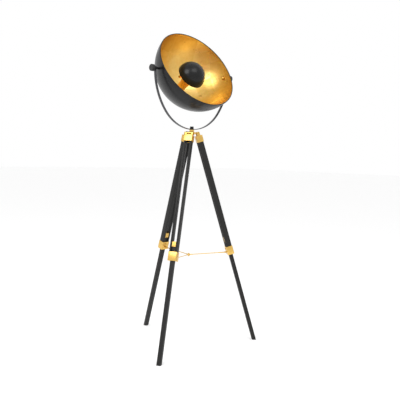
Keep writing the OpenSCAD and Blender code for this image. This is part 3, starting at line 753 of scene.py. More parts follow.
class GeometryTree(Tree):
    """A geometry node group whose inputs are named sizes."""

    def __init__(self, name: str, sizes: Iterable[Socket]) -> None:
        """Makes the group.

        Args:
            name: The group's name.
            sizes: Its inputs after the geometry and before the material.
        """
        shape = Socket("Geometry", "NodeSocketGeometry")
        inputs = [shape, *sizes, Socket("Finish", "NodeSocketMaterial")]
        super().__init__(new_group(name, "GeometryNodeTree", inputs, [shape]))

    def vector(self, x: object, y: object, z: object) -> bpy.types.NodeSocket:
        """A vector from its three parts."""
        return self.add("ShaderNodeCombineXYZ", {0: x, 1: y, 2: z}).outputs[0]

    def position(self) -> tuple[bpy.types.NodeSocket, ...]:
        """The three parts of each point's place."""
        place_in = self.add("GeometryNodeInputPosition").outputs[0]
        return tuple(self.add("ShaderNodeSeparateXYZ", {0: place_in}).outputs)

    def product(self, *factors: object) -> bpy.types.NodeSocket:
        """All factors multiplied together."""
        result = factors[0]
        for factor in factors[1:]:
            result = self.math("MULTIPLY", result, factor)
        return result

    def finish(self, geometry: bpy.types.NodeSocket) -> None:
        """Ends the tree: instances become real, and the material is set."""
        real = self.add("GeometryNodeRealizeInstances", {0: geometry})
        feeds = {"Geometry": real.outputs[0], "Material": self.group_input("Finish")}
        self.put_out(Geometry=self.add("GeometryNodeSetMaterial", feeds).outputs[0])

    def run(self, piece: bpy.types.Object, **values: object) -> bpy.types.Object:
        """Runs the tree on a piece and keeps the result as plain mesh.

        Args:
            piece: The object whose mesh goes in.
            **values: The inputs, by name with underscores for spaces.

        Returns:
            The same piece with its new mesh.
        """
        modifier = piece.modifiers.new("shape", "NODES")
        modifier.node_group = self.tree
        for item in self.tree.interface.items_tree:
            key = item.name.replace(" ", "_")
            if item.in_out == "INPUT" and key in values:
                modifier[item.identifier] = values[key]
        return bake_modifiers(piece)


class Flutes(GeometryTree):
    """Grip flutes pressed into a turned knob or nut."""

    def __init__(self) -> None:
        """Builds the tree."""
        super().__init__("grip_flutes", [
            Socket("Count", value=18.0), Socket("Depth", value=0.001),
            Socket("Radius", value=0.015), Socket("Low", value=0.0), Socket("High", value=0.01),
        ])
        x, y, z = self.position()
        turn = self.math("ARCTAN2", y, x)
        wave = self.math("COSINE", self.product(turn, self.group_input("Count")))
        valley = self.math("POWER", self.product(self.math("ADD", wave, 1.0), 0.5), 1.6)
        reach = self.math("SQRT", self.math("ADD", self.product(x, x), self.product(y, y)))
        outer = self.ramp(self.math("DIVIDE", reach, self.group_input("Radius")), 0.8, 0.97)
        above = self.math("GREATER_THAN", z, self.group_input("Low"))
        under = self.math("LESS_THAN", z, self.group_input("High"))
        grip = self.product(outer, self.product(above, under))
        depth = self.product(valley, grip, self.group_input("Depth"))
        shrink = self.math("DIVIDE", depth, self.math("MAXIMUM", reach, 1e-6))
        inward = self.vector(self.product(x, shrink, -1.0), self.product(y, shrink, -1.0), 0.0)
        feeds = {"Geometry": self.group_input("Geometry"), "Offset": inward}
        self.finish(self.add("GeometryNodeSetPosition", feeds).outputs[0])


class BentStrip(GeometryTree):
    """A flat strip with eased edges that follows a bent line and ends in two round eyes."""

    def __init__(self) -> None:
        """Builds the tree."""
        super().__init__("bent_strip", [
            Socket("Width", value=0.014), Socket("Thickness", value=0.003), Socket("Edge", value=0.0006),
        ])
        width = self.group_input("Width")
        line = self.add("GeometryNodeMeshToCurve", {0: self.group_input("Geometry")})
        level = self.add("GeometryNodeSetCurveNormal", {0: line.outputs[0]}, mode="Z_UP")
        feeds = {"Width": self.group_input("Thickness"), "Height": width}
        section = self.add("GeometryNodeCurvePrimitiveQuadrilateral", feeds)
        feeds = {"Curve": section.outputs[0], "Count": 3, "Radius": self.group_input("Edge")}
        eased_section = self.add("GeometryNodeFilletCurve", feeds, mode="POLY")
        swept = self.add("GeometryNodeCurveToMesh", {
            "Curve": level.outputs[0], "Profile Curve": eased_section.outputs[0], "Fill Caps": True,
        })
        x, y, z = self.position()
        beyond = self.math("DIVIDE", self.math("MAXIMUM", y, 0.0), self.product(width, 0.5))
        left_over = self.math("SUBTRACT", 1.0, self.product(beyond, beyond))
        squeeze = self.math("SQRT", self.math("MAXIMUM", left_over, 0.0004))
        feeds = {"Geometry": swept.outputs[0], "Position": self.vector(x, y, self.product(z, squeeze))}
        self.finish(self.add("GeometryNodeSetPosition", feeds).outputs[0])


class SlottedScrews(GeometryTree):
    """Slotted screws on points, each with its slot turned its own way."""

    def __init__(self) -> None:
        """Builds the tree."""
        super().__init__("slotted_screws", [
            Socket("Head Radius", value=0.0035), Socket("Head Height", value=0.0008),
            Socket("Shank Radius", value=0.002), Socket("Shank Length", value=0.01),
            Socket("Slot Width", value=0.001), Socket("Slot Depth", value=0.0005),
            Socket("Seed", "NodeSocketInt", 3),
        ])
        high, deep = self.group_input("Head Height"), self.group_input("Shank Length")
        head = self._bar("Head Radius", high, self.product(high, 0.5))
        shank = self._bar("Shank Radius", deep, self.product(deep, -0.5))
        slot = self.add("GeometryNodeMeshCube", {"Size": self.vector(
            self.product(self.group_input("Head Radius"), 3.0), self.group_input("Slot Width"),
            self.product(self.group_input("Slot Depth"), 2.0),
        )})
        lifted = self._moved(slot, high)
        cut = self.add("GeometryNodeMeshBoolean", {0: head, 1: lifted}, operation="DIFFERENCE")
        whole = self.add("GeometryNodeJoinGeometry")
        for part in (shank, cut.outputs[0]):
            self.feed(whole.inputs[0], part)
        spin = self.add("FunctionNodeRandomValue", {3: math.pi}, data_type="FLOAT")
        self.feed(spin.inputs["Seed"], self.group_input("Seed"))
        turned = self.add("FunctionNodeEulerToRotation", {0: self.vector(0.0, 0.0, spin.outputs[1])})
        spread = self.add("GeometryNodeInstanceOnPoints", {
            "Points": self.group_input("Geometry"), "Instance": whole.outputs[0],
            "Rotation": turned.outputs[0],
        })
        self.finish(spread.outputs[0])

    def _moved(self, shape: bpy.types.Node, height: bpy.types.NodeSocket) -> bpy.types.NodeSocket:
        """A mesh node's shape, lifted along z."""
        feeds = {"Geometry": shape.outputs["Mesh"], "Translation": self.vector(0.0, 0.0, height)}
        return self.add("GeometryNodeTransform", feeds).outputs[0]

    def _bar(
        self, radius: str, length: bpy.types.NodeSocket, middle: bpy.types.NodeSocket
    ) -> bpy.types.NodeSocket:
        """A round bar along z, with its middle at a height."""
        feeds = {"Vertices": 28, "Radius": self.group_input(radius), "Depth": length}
        return self._moved(self.add("GeometryNodeMeshCylinder", feeds), middle)


# ---------------------------------------------------------------- places


class Side(Enum):
    """Which leg a piece belongs to, by the ending of its name."""

    REAR = "rear"
    LEFT = "left"
    RIGHT = "right"


def axes(across: Vector, along: Vector, up: Vector, origin: Vector) -> Matrix:
    """A frame with its three axes and its origin."""
    rows = zip(across, along, up, origin)
    return Matrix((*rows, (0, 0, 0, 1)))


@dataclass(frozen=True)
class Places:
    """Where things are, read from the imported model, in metres."""

    record: dict
    # from the inner end of the cable inlet to the bowl's outer pole, through the back cover
    inlet_to_pole: float = 0.01305

    def joint(self, name: str) -> dict:
        """A joint of the record by name."""
        return next(j for j in self.record["behaviour"]["joints"] if j["name"] == name)

    def mount(self, name: str) -> dict:
        """A mount of the record by name."""
        return next(m for m in self.record["mounts"] if m["name"] == name)

    @property
    def pivot(self) -> Vector:
        """The middle of the tilt axis."""
        return Vector(self.joint("head_tilt")["pos_m"])

    @property
    def bowl(self) -> Matrix:
        """The bowl's frame: z along its axis towards the opening, its origin at the outer pole."""
        inlet = self.mount("cable_inlet")
        forward = -Vector(inlet["axis"]).normalized()
        across = Vector((1.0, 0.0, 0.0))
        up = forward.cross(across)
        half = 0.5 * inlet["dims"]["length_mm"] * MM
        pole = Vector(inlet["pos_m"]) + forward * (half + self.inlet_to_pole)
        return axes(across, up, forward, pole)

    def leg(self, side: Side) -> Matrix:
        """A leg's frame: z up the leg from its hinge, y away from the tripod's axis."""
        fold = self.joint(f"leg_fold_{side.value}")
        up = Vector(self.joint(f"leg_slide_{side.value}")["axis"]).normalized()
        across = -Vector(fold["axis"]).normalized()
        return axes(across, up.cross(across), up, Vector(fold["pos_m"]))

    def side_of_pivot(self, side: int) -> Matrix:
        """A frame on the tilt axis: z away from the bowl on the left (-1) or the right (1)."""
        return Matrix.Translation(self.pivot) @ Matrix.Rotation(math.radians(90 * side), 4, "Y")


class Crew:
    """Finishes pieces: gives them their material and makes them ride on their body."""

    def __init__(self, palette: Palette) -> None:
        """Keeps the palette.

        Args:
            palette: The finishes.
        """
        self.palette = palette
        self.shown: set[str] = set()

    def dress(self, piece: bpy.types.Object, finish: str) -> None:
        """Gives a piece one material in all its slots."""
        piece.data.materials.clear()
        piece.data.materials.append(self.palette[finish])
        for polygon in piece.data.polygons:
            polygon.material_index = 0

    def fit(self, piece: bpy.types.Object, body: str, slot: str, *nodes: str, finish: str = "") -> None:
        """Finishes a new piece.

        Args:
            piece: The piece, in place.
            body: The body that it rides on.
            slot: The record's material slot.
            *nodes: The CAD nodes that it stands for.
            finish: The palette's finish, if it isn't the slot's own.
        """
        self.dress(piece, finish or slot)
        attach(piece, body)
        if nodes:
            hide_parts(*nodes)
        faces = len(piece.data.polygons)
        LOG.info("%s rides %s: %d faces, stands for %s", piece.name, body, faces, nodes or "none")

    def keep(self, node: str, finish: str) -> None:
        """Gives a CAD node that is shown its finish."""
        piece = frame["nodes"][node]
        if not piece.data.materials:
            piece.data.materials.append(self.palette[finish])
        for i in range(len(piece.data.materials)):
            piece.data.materials[i] = self.palette[finish]
        LOG.info("%s keeps its shape, in %s", node, finish)


# ---------------------------------------------------------------- head


@dataclass
class Head:
    """The bowl, its lining, the glare cap and what they hold."""

    crew: Crew
    places: Places
    rim_radius: float = 0.2
    depth: float = 0.19
    wall: float = 0.0012
    leaf: float = 0.0004
    gap: float = 0.00005
    bead: float = 0.0018
    tube_radius: float = 0.00505
    cap_radius: float = 0.066
    cap_height: float = 0.135
    cap_wall: float = 0.001
    cap_lip: float = 0.0012
    bulb_neck: float = 0.013
    bulb_globe: float = 0.03
    bulb_base: float = 0.089
    bulb_centre: float = 0.14
    glass: float = 0.001
    cover_radius: float = 0.022
    cover_height: float = 0.013
    gland_bore: float = 0.0035
    gland_flange: float = 0.018
    gland_end: float = 0.032
    rows: int = 72

    def __post_init__(self) -> None:
        """Works out the radius of the ball that the bowl is cut from."""
        self.ball = (self.rim_radius ** 2 + self.depth ** 2) / (2 * self.depth)

    def build(self) -> None:
        """Builds and dresses every piece of the head."""
        self.shell()
        self.lining()
        self.cap()
        self.bulb()
        self.back()
        # the sleeve, bracket and washers take the darker gold copy, whose colour is painted shade
        for node in ("holder_sleeve", "cap_bracket", "inner_washers"):
            self.crew.keep(node, "gold_sheet")
        for node, finish in {
            "bracket_screws": "brass", "lamp_contacts": "brass", "pivot_bolts": "brass",
            "bulb_base": "aluminium", "threaded_tube": "steel", "lamp_holder": "black_plastic",
            "pivot_spacers": "black_paint",
        }.items():
            self.crew.keep(node, finish)

    def _angle(self, radius: float, height: float) -> float:
        """Angle from the pole, in degrees, at which a sphere about the ball's centre has a height."""
        return math.degrees(math.acos((self.ball - height) / radius))

    def _off_axis(self, reach: float, radius: float) -> float:
        """Angle from the pole, in degrees, at which a sphere stands a reach off the axis."""
        return math.degrees(math.asin(reach / radius))

    def _wall(self, radius: float, top: float) -> list[Point2]:
        """A sphere's profile from the hole at its pole up to a height."""
        start = self._off_axis(self.tube_radius, radius) - 90
        return arc((0.0, self.ball), radius, start, self._angle(radius, top) - 90, self.rows)

    def shell(self) -> None:
        """The spun steel shell with its rolled bead."""
        top = self.depth - self.bead * 0.9
        outside = self._wall(self.ball, top)
        inside = self._wall(self.ball - self.wall, top)
        bead = arc((self.rim_radius - self.bead, self.depth), self.bead, -50, 215, 22)
        piece = lathe("bowl", outside + bead + inside[::-1], 256, closed=True)
        self.crew.fit(place(piece, self.places.bowl), "head", "black_paint", "bowl_shell")

    def lining(self) -> None:
        """The leafed lining, laid just inside the shell."""
        outer = self.ball - self.wall - self.gap
        top = self.depth - self.bead - 6 * self.gap
        outside = self._wall(outer, top)
        inside = self._wall(outer - self.leaf, top)
        piece = lathe("gold_leaf_bowl", outside + inside[::-1], 256, closed=True)
        self.unroll(piece, Vector((0, 0, self.ball)))
        self.crew.fit(place(piece, self.places.bowl), "head", "gold_leaf", "gold_lining")

    @staticmethod
    def unroll(piece: bpy.types.Object, centre: Vector) -> None:
        """Gives a round shell a flat layout: metres from the pole along the surface, in its direction."""
        layer = piece.data.uv_layers.new(name="leaf")
        for loop in piece.data.loops:
            from_centre = piece.data.vertices[loop.vertex_index].co - centre
            radius = from_centre.length
            tilt = math.acos(max(-1.0, min(1.0, -from_centre.z / radius)))
            turn = math.atan2(from_centre.y, from_centre.x)
            layer.data[loop.index].uv = (radius * tilt * math.cos(turn), radius * tilt * math.sin(turn))

    def cap(self) -> None:
        """The glare cap, black outside and leafed inside."""
        black = self._dome("glare_cap_shell", self.cap_radius, self.cap_wall, 0.0)
        self.crew.fit(place(black, self.places.bowl), "head", "black_paint", "glare_cap")
        inner = self.cap_radius - self.cap_wall - self.gap
        gold = self._dome("glare_cap_leaf", inner, self.leaf, self.cap_lip)
        self.unroll(gold, Vector((0, 0, self.cap_height)))
        self.crew.fit(place(gold, self.places.bowl), "head", "gold_leaf", "cap_lining")

    def _dome(self, name: str, radius: float, wall: float, lip: float) -> bpy.types.Object:
        """A half-round shell whose two walls meet in a rounded lip."""
        start = -math.degrees(math.asin(lip / radius))
        centre = (0.0, self.cap_height)
        outside = arc(centre, radius, 90, start, 44)
        inside = arc(centre, radius - wall, start, 90, 44)
        # the poles stand on the axis, free of rounding errors
        outside[0] = (0.0, centre[1] + radius)
        inside[-1] = (0.0, centre[1] + radius - wall)
        turn = math.radians(start)
        middle = radius - wall / 2
        at = (middle * math.cos(turn), centre[1] + middle * math.sin(turn))
        edge = arc(at, wall / 2, start, start - 180, 6)[1:-1]
        flattened = [(x, max(y, centre[1] - lip)) for x, y in edge]
        return lathe(name, outside + flattened + inside, 160)

    def bulb(self) -> None:
        """The opal bulb: a neck that swells into a globe."""
        neck, globe, base, centre = self.bulb_neck, self.bulb_globe, self.bulb_base, self.bulb_centre
        turn = math.degrees(math.acos((globe - neck * 0.7) / (centre - base)))
        outside = arc((0.0, centre), globe, turn - 90, 90, 40)
        inside = arc((0.0, centre), globe - self.glass, 90, turn - 90, 40)
        outside[-1], inside[0] = (0.0, centre + globe), (0.0, centre + globe - self.glass)
        profile = [(neck, base)] + outside + inside + [(neck - 2 * self.glass, base)]
        piece = lathe("opal_bulb", profile)
        close_ends(piece)
        self.crew.fit(place(piece, self.places.bowl), "head", "opal_glass", "bulb_glass")

    def back(self) -> None:
        """The turned cover over the bowl's pole, and the cord's tapered way out."""
        bore, rim, back = self.tube_radius, self.cover_radius, -self.cover_height
        cover = [(bore, back), (rim - 0.0045, back), (rim, back + 0.004), (rim, -0.0004)]
        start, end = (self._off_axis(reach, self.ball) - 90 for reach in (rim, bore))
        seat = arc((0.0, self.ball), self.ball + self.gap, start, end, 8)
        piece = lathe("back_cover_cap", rounded(cover, 0.0012)[:-1] + seat, closed=True)
        self.crew.fit(place(piece, self.places.bowl), "head", "black_paint", "back_cover")
        bore, tip, front = self.gland_bore, -self.gland_end, back - self.gap
        outline = [
            (bore, tip), (0.006, tip), (0.0078, -self.gland_flange - 0.0002),
            (0.009, -self.gland_flange), (0.009, front), (bore, front),
        ]
        gland = lathe("cord_gland", rounded(outline, 0.0005, 3, closed=True), 64, closed=True)
        self.crew.fit(place(gland, self.places.bowl), "head", "black_plastic", "cable_gland")


def close_ends(piece: bpy.types.Object) -> None:
    """Closes a turned piece's open edge loops with faces."""
    shape = bmesh.new()
    shape.from_mesh(piece.data)
    edges = [e for e in shape.edges if e.is_boundary]
    if edges:
        bmesh.ops.holes_fill(shape, edges=edges, sides=0)
        bmesh.ops.recalc_face_normals(shape, faces=shape.faces)
    shape.to_mesh(piece.data)
    shape.free()


# ---------------------------------------------------------------- yoke, knobs and swivel


@dataclass
class Yoke:
    """The bent strip, its clamping knobs and the swivel's nut."""

    crew: Crew
    places: Places
    half: float = 0.216
    drop: float = 0.255
    bend: float = 0.195
    width: float = 0.014
    thickness: float = 0.003
    edge: float = 0.0006
    pad_radius: float = 0.01
    pad_height: float = 0.004
    stud_bore: float = 0.0042
    knob_radius: float = 0.015
    knob_length: float = 0.015
    neck: float = 0.005
    neck_radius: float = 0.0075
    washer: float = 0.0012
    play: float = 0.00015
    flutes: int = 18
    knob_round: float = 0.0014
    knob_dish: float = 0.0008
    grip_depth: float = 0.0014
    bolt_bore: float = 0.0031
    nut_radius: float = 0.0085
    nut_height: float = 0.011
    nut_bore: float = 0.00408
    nut_flange: Point2 = (0.0015, 0.002)
    nut_flute: float = 0.0009
    nut_flutes: int = 12
    nut_roof: float = 0.002

    def build(self) -> None:
        """Builds and dresses every piece of the yoke."""
        self.strip()
        flutes = Flutes()
        for side, name in ((-1, "left"), (1, "right")):
            self.knob(side, name, flutes)
        self.nut(flutes)
        self.crew.keep("yoke_washers", "black_paint")
        self.crew.keep("swivel_stud", "steel")

    def outline(self) -> list[Point2]:
        """The strip's middle line from eye to eye, in the yoke's own plane."""
        rise = self.drop - self.bend
        side = (self.half ** 2 + rise ** 2 - self.bend ** 2) / (2 * (self.half - self.bend))
        join = math.degrees(math.atan2(rise, side - self.half))
        eye = self.width / 2
        right = [(self.half, eye * k / 8) for k in range(8, 0, -1)]
        right += arc((self.half - side, 0.0), side, 0, -join, 30)
        foot = arc((0.0, -rise), self.bend, -join, -180 + join, 70)[1:-1]
        left = [(-x, y) for x, y in reversed(right)]
        return right + foot + left

    def strip(self) -> None:
        """The strip, swept along its middle line, with the round pad at its foot."""
        line = self.outline()
        mesh = bpy.data.meshes.new("yoke_line")
        mesh.from_pydata([(x, y, 0.0) for x, y in line], [(i, i + 1) for i in range(len(line) - 1)], [])
        piece = BentStrip().run(
            show("bent_yoke", mesh), Width=self.width, Thickness=self.thickness, Edge=self.edge,
            Finish=self.crew.palette["gunmetal"],
        )
        for polygon in piece.data.polygons:
            polygon.use_smooth = True
        piece.data.set_sharp_from_angle(angle=STRIP_EDGE)
        place(piece, Matrix.Translation(self.places.pivot) @ Matrix.Rotation(math.radians(90), 4, "X"))
        bore, rim, half = self.stud_bore, self.pad_radius, self.pad_height / 2
        outline = [(bore, -half), (rim, -half), (rim, half), (bore, half)]
        pad = lathe("pad", rounded(outline, self.edge, closed=True), 64, True)
        place(pad, Matrix.Translation(self.places.pivot - Vector((0, 0, self.drop))))
        whole = joined("yoke_strip", [piece, pad])
        self.crew.fit(whole, "yoke", "gunmetal", "yoke")

    def knob(self, side: int, name: str, flutes: Flutes) -> None:
        """A fluted clamping knob.

        Args:
            side: -1 on the left, 1 on the right.
            name: left or right.
            flutes: The tree that presses the grip.
        """
        start = self.half + self.thickness / 2 + 2 * self.play + self.washer
        grip = start + self.neck
        end = grip + self.knob_length
        r, dish = self.knob_radius, self.knob_dish
        outline = [
            (self.bolt_bore, start), (self.neck_radius, start), (self.neck_radius, grip), (r, grip),
            (r, end), (0.62 * r, end), (0.56 * r, end - dish), (0.0, end - dish),
        ]
        profile = self.thicken(rounded(outline, self.knob_round, 5), r, grip, end)
        blind = [(0.0, grip), (self.bolt_bore, grip)]
        piece = lathe(f"knob_{name}", blind + profile, self.flutes * 12)
        flutes.run(
            piece, Count=float(self.flutes), Depth=self.grip_depth, Radius=r,
            Low=grip - 0.0001, High=end + 0.0001, Finish=self.crew.palette["black_knob"],
        )
        place(piece, self.places.side_of_pivot(side))
        self.crew.fit(piece, f"knob_{name}", "black_knob", f"tilt_knob_{name}")

    @staticmethod
    def thicken(profile: list[Point2], radius: float, low: float, high: float) -> list[Point2]:
        """Adds points along the grip's straight side, for the flutes to bend."""
        result: list[Point2] = []
        for a, b in zip(profile, profile[1:] + [profile[-1]]):
            result.append(a)
            straight = abs(a[0] - radius) < 1e-6 and abs(b[0] - radius) < 1e-6
            if straight and low < a[1] < high:
                result += [(radius, a[1] + (b[1] - a[1]) * k / 6) for k in range(1, 6)]
        return result

    def nut(self, flutes: Flutes) -> None:
        """The fluted cap nut on the yoke's foot."""
        foot = self.places.pivot.z - self.drop
        low = foot + self.pad_height / 2 + self.play
        r, high, bore = self.nut_radius, low + self.nut_height, self.nut_bore
        brim, rise = r + self.nut_flange[0], low + self.nut_flange[1]
        outline = [(bore, low), (brim, low), (brim, rise), (r, rise + 0.0002), (r, high), (0.0, high)]
        profile = self.thicken(rounded(outline, 0.0009), r, low, high)
        blind = [(0.0, high - self.nut_roof), (bore, high - self.nut_roof)]
        piece = lathe("cap_nut", blind + profile, self.nut_flutes * 12)
        flutes.run(
            piece, Count=float(self.nut_flutes), Depth=self.nut_flute, Radius=r,
            Low=rise + 0.0001, High=high + 0.001, Finish=self.crew.palette["gunmetal"],
        )
        place(piece, Matrix.Translation((self.places.pivot.x, self.places.pivot.y, 0.0)))
        self.crew.fit(piece, "swivel_clamp", "gunmetal", "swivel_nut", finish="black_paint")


# ---------------------------------------------------------------- legs


@dataclass
class Leg:
    """One leg: cap, rails, collar and the sliding lower leg."""

    crew: Crew
    places: Places
    side: Side
    seed: int
    rail: Point2 = (0.008, 0.027)
    slit: float = 0.0198
    bar: Point2 = (0.019, 0.018)
    block: Point2 = (0.0399, 0.0311)
    brass_wall: float = 0.002
    fit_gap: float = 0.00005
    ear_drop: float = 0.011
    ear: Point2 = (0.007, 0.005)
    ear_place: float = 0.01465
    cap_height: float = 0.031
    roof: float = 0.003
    collar: float = 0.572
    collar_height: float = 0.04
    collar_floor: float = 0.004
    hole: Point2 = (0.0198, 0.0188)
    lug_below: float = 0.005
    lug_reach: float = 0.0074
    lug_plate: Point2 = (0.00255, 0.002)
    eye_radius: float = 0.0035
    screw_radius: float = 0.0035
    stop_radius: float = 0.0015
    stop_place: float = 0.0109
    tip_above: float = 0.065
    tip_length: float = 0.02
    pad: float = 0.003
    ease: float = 0.0005
    brass_corner: float = 0.0016
    brass_edge: float = 0.0009
    inner_corner: float = 0.0008
    mouth_bevel: float = 0.0003
    stick_corner: float = 0.0014
    screw_head: float = 0.0008
    screw_shank: Point2 = (0.002, 0.0135)
    screw_slot: Point2 = (0.001, 0.0005)

    def __post_init__(self) -> None:
        """Finds the leg's frame, its pieces' ending and the room inside its brass."""
        self.frame = self.places.leg(self.side)
        self.name = self.side.value
        self.inside = tuple(size - 2 * self.brass_wall for size in self.block)
        self.rail_x = (self.slit + self.rail[0]) / 2
        self.stick_top = -(self.collar - self.tip_above + self.tip_length + self.fit_gap)

    def build(self, screws: SlottedScrews) -> None:
        """Builds and dresses the leg.

        Args:
            screws: The tree that sets the screws.
        """
        self.rails()
        self.cap()
        self.brass_collar()
        self.lower()
        self.fasteners(screws)
        for node in ("hinge_pin", "clamp_screw", "stay_pin", "lower_leg_tip", "spreader_stay"):
            self.crew.keep(f"{node}_{self.name}", "brass")

    def _fit(self, piece: bpy.types.Object, part: str, slot: str, node: str) -> None:
        """Puts a piece on the upper or the lower part of this leg."""
        ending = self.name
        self.crew.fit(place(piece, self.frame), f"{part}_{ending}", slot, f"{node}_{ending}")

    def grained(self, piece: bpy.types.Object) -> None:
        """Lays the grain along the leg: metres round the stick, and metres along it."""
        layer = piece.data.uv_layers.new(name="grain")
        shift = 0.37 * self.seed
        for polygon in piece.data.polygons:
            flat = abs(polygon.normal.x) > abs(polygon.normal.y)
            for index in polygon.loop_indices:
                co = piece.data.vertices[piece.data.loops[index].vertex_index].co
                round_stick = co.y + 0.05 if flat else co.x
                layer.data[index].uv = (round_stick + shift, co.z + 2.1 * shift)

    def rails(self) -> None:
        """The two rails of the upper leg, with eased arrises."""
        top = -(self.ear_drop + self.roof + self.fit_gap)
        floor = self.collar + self.collar_height / 2 - self.collar_floor
        sticks = []
        for way in (-1, 1):
            stick = skin(f"stick{way}", block_loops(self.rail, self.fit_gap - floor, top, 0.0012, 0.0008))
            sticks.append(place(stick, Matrix.Translation((way * self.rail_x, 0, 0))))
        piece = joined(f"rails_{self.name}", sticks)
        self.grained(piece)
        self._fit(piece, "leg", "black_wood", "leg_rails")

    def cap(self) -> None:
        """The brass cap with its two hinge ears."""
        low, high = -(self.ear_drop + self.cap_height), -self.ear_drop
        cavity = [
            block_loop(*self.inside, high - self.roof, self.inner_corner),
            block_loop(*self.inside, low + self.mouth_bevel, self.inner_corner),
            block_loop(self.inside[0] + 0.0005, self.inside[1] + 0.0005, low, 0.0009),
        ]
        walls = block_loops(self.block, low, high, self.brass_corner, self.brass_edge)
        piece = skin(f"cap_{self.name}", cavity + walls)
        ears = [
            place(self._ear(f"ear{way}"), Matrix.Translation((way * self.ear_place, 0, 0)))
            for way in (-1, 1)
        ]
        whole = joined(f"hinge_cap_{self.name}", [piece, *ears])
        self._fit(whole, "leg", "brass", "leg_cap")

    def _ear(self, name: str) -> bpy.types.Object:
        """A hinge ear: a plate with a round top about the hinge, eased on both faces."""
        radius, half = self.ear[0], self.ear[1] / 2
        root = -self.ear_drop - 0.001
        outline = [(-radius, root), (radius, root)] + arc((0, 0), radius, 0, 180, 20)
        loops = []
        for x, share in ((-half, 0.95), (0.0004 - half, 1.0), (half - 0.0004, 1.0), (half, 0.95)):
            loops.append([Vector((x, y * share, z * share if z > root else z)) for y, z in outline])
        return skin(name, loops)

    def brass_collar(self) -> None:
        """The brass collar: open above, with a square hole for the lower leg, and a lug for the stay."""
        low = -(self.collar + self.collar_height / 2)
        high = low + self.collar_height
        floor = low + self.collar_floor
        loops = block_loops(self.block, low, high, self.brass_corner, self.brass_edge)
        loops += [
            block_loop(self.inside[0] + 0.0006, self.inside[1] + 0.0006, high, 0.001),
            block_loop(*self.inside, high - self.mouth_bevel, self.inner_corner),
            block_loop(*self.inside, floor, self.inner_corner),
            block_loop(*self.hole, floor, 0.0006),
            block_loop(*self.hole, low + self.mouth_bevel, 0.0006),
            block_loop(self.hole[0] + 0.0006, self.hole[1] + 0.0006, low, 0.0008),
        ]
        piece = skin(f"collar_{self.name}", loops, closed=True)
        y, z, r = -(self.block[1] / 2 + self.lug_reach), -(self.collar + self.lug_below), self.eye_radius
        root = y + self.lug_reach + 0.001
        outline = arc((y, z), r, 90, 270, 16) + [(root, z - r), (root, z + r)]
        half = self.lug_plate[1] / 2
        plates = []
        for way in (-1, 1):
            plate = skin(f"plate{way}", [[Vector((x, *p)) for p in outline] for x in (-half, half)])
            plates.append(place(plate, Matrix.Translation((way * self.lug_plate[0], 0, 0))))
        whole = joined(f"leg_collar_brass_{self.name}", [piece, *plates])
        self._fit(whole, "leg", "brass", "leg_collar")

    def lower(self) -> None:
        """The sliding lower leg, cut level above its rubber pad."""
        ease, seam, top = self.ease, self.pad + self.fit_gap, self.stick_top
        stick = skin(f"lower_leg_stick_{self.name}", [
            self._level_loop(seam, ease), self._level_loop(seam + ease, 0.0),
            block_loop(*self.bar, top - ease, self.stick_corner),
            block_loop(self.bar[0] - 2 * ease, self.bar[1] - 2 * ease, top, 0.0012),
        ])
        self.grained(stick)
        self._fit(stick, "lower", "black_wood", "lower_leg")
        pad = skin(f"foot_pad_stick_{self.name}", [
            self._level_loop(0.0, ease), self._level_loop(ease, 0.0),
            self._level_loop(self.pad - ease, 0.0), self._level_loop(self.pad, ease),
        ])
        self._fit(pad, "lower", "rubber", "foot_pad")

    def _level_loop(self, height: float, inset: float) -> Loop:
        """A loop of the lower leg in a level plane, in the leg's frame.

        Args:
            height: The plane's height above the floor.
            inset: How far the loop stands inside the leg's faces.

        Returns:
            The loop's points.
        """
        hinge_z, up_z = self.frame.translation.z, self.frame.col[2].z
        slope = self.frame.col[1].z / up_z
        loop = block_loop(self.bar[0] - 2 * inset, self.bar[1] - 2 * inset, 0.0, self.stick_corner)
        return [Vector((p.x, p.y, (height - hinge_z) / up_z - p.y * slope)) for p in loop]

    def fasteners(self, screws: SlottedScrews) -> None:
        """Four slotted screws and two stop pins on the side that faces the tripod's axis."""
        points = [
            (way * self.rail_x, -along, 0.0)
            for along in (self.ear_drop + 2 * self.cap_height / 3, self.collar - self.collar_height / 3)
            for way in (-1, 1)
        ]
        mesh = bpy.data.meshes.new("screw_points")
        mesh.from_pydata(points, [], [])
        heads = screws.run(
            show("screw_heads", mesh), Head_Radius=self.screw_radius, Head_Height=self.screw_head,
            Shank_Radius=self.screw_shank[0], Shank_Length=self.screw_shank[1],
            Slot_Width=self.screw_slot[0], Slot_Depth=self.screw_slot[1],
            Seed=self.seed, Finish=self.crew.palette["brass"],
        )
        face = Matrix.Translation((0, 0.001 - self.block[1] / 2, 0))
        place(heads, face @ Matrix.Rotation(math.radians(90), 4, "X"))
        r, half = self.stop_radius, self.slit / 2 + self.rail[0]
        outline = rounded([(0.0, -half), (r, -half), (r, half), (0.0, half)], 0.0003, 2)
        across = Matrix.Rotation(math.radians(90), 4, "Y")
        pins = []
        for way in (-1, 1):
            at = Matrix.Translation((0, way * self.stop_place, self.stick_top - r))
            pins.append(place(lathe(f"pin{way}", outline, 24), at @ across))
        whole = joined(f"screws_and_pins_{self.name}", [heads, *pins])
        self._fit(whole, "leg", "brass", "leg_fasteners")


@dataclass
class Spreader:
    """The hub on top of the legs, and the knob between the stays."""

    crew: Crew
    places: Places

    def build(self) -> None:
        """Dresses the hub and the spreader's knob."""
        self.crew.keep("hub", "brass")
        self.crew.keep("spreader_knob", "brass")


# ---------------------------------------------------------------- studio


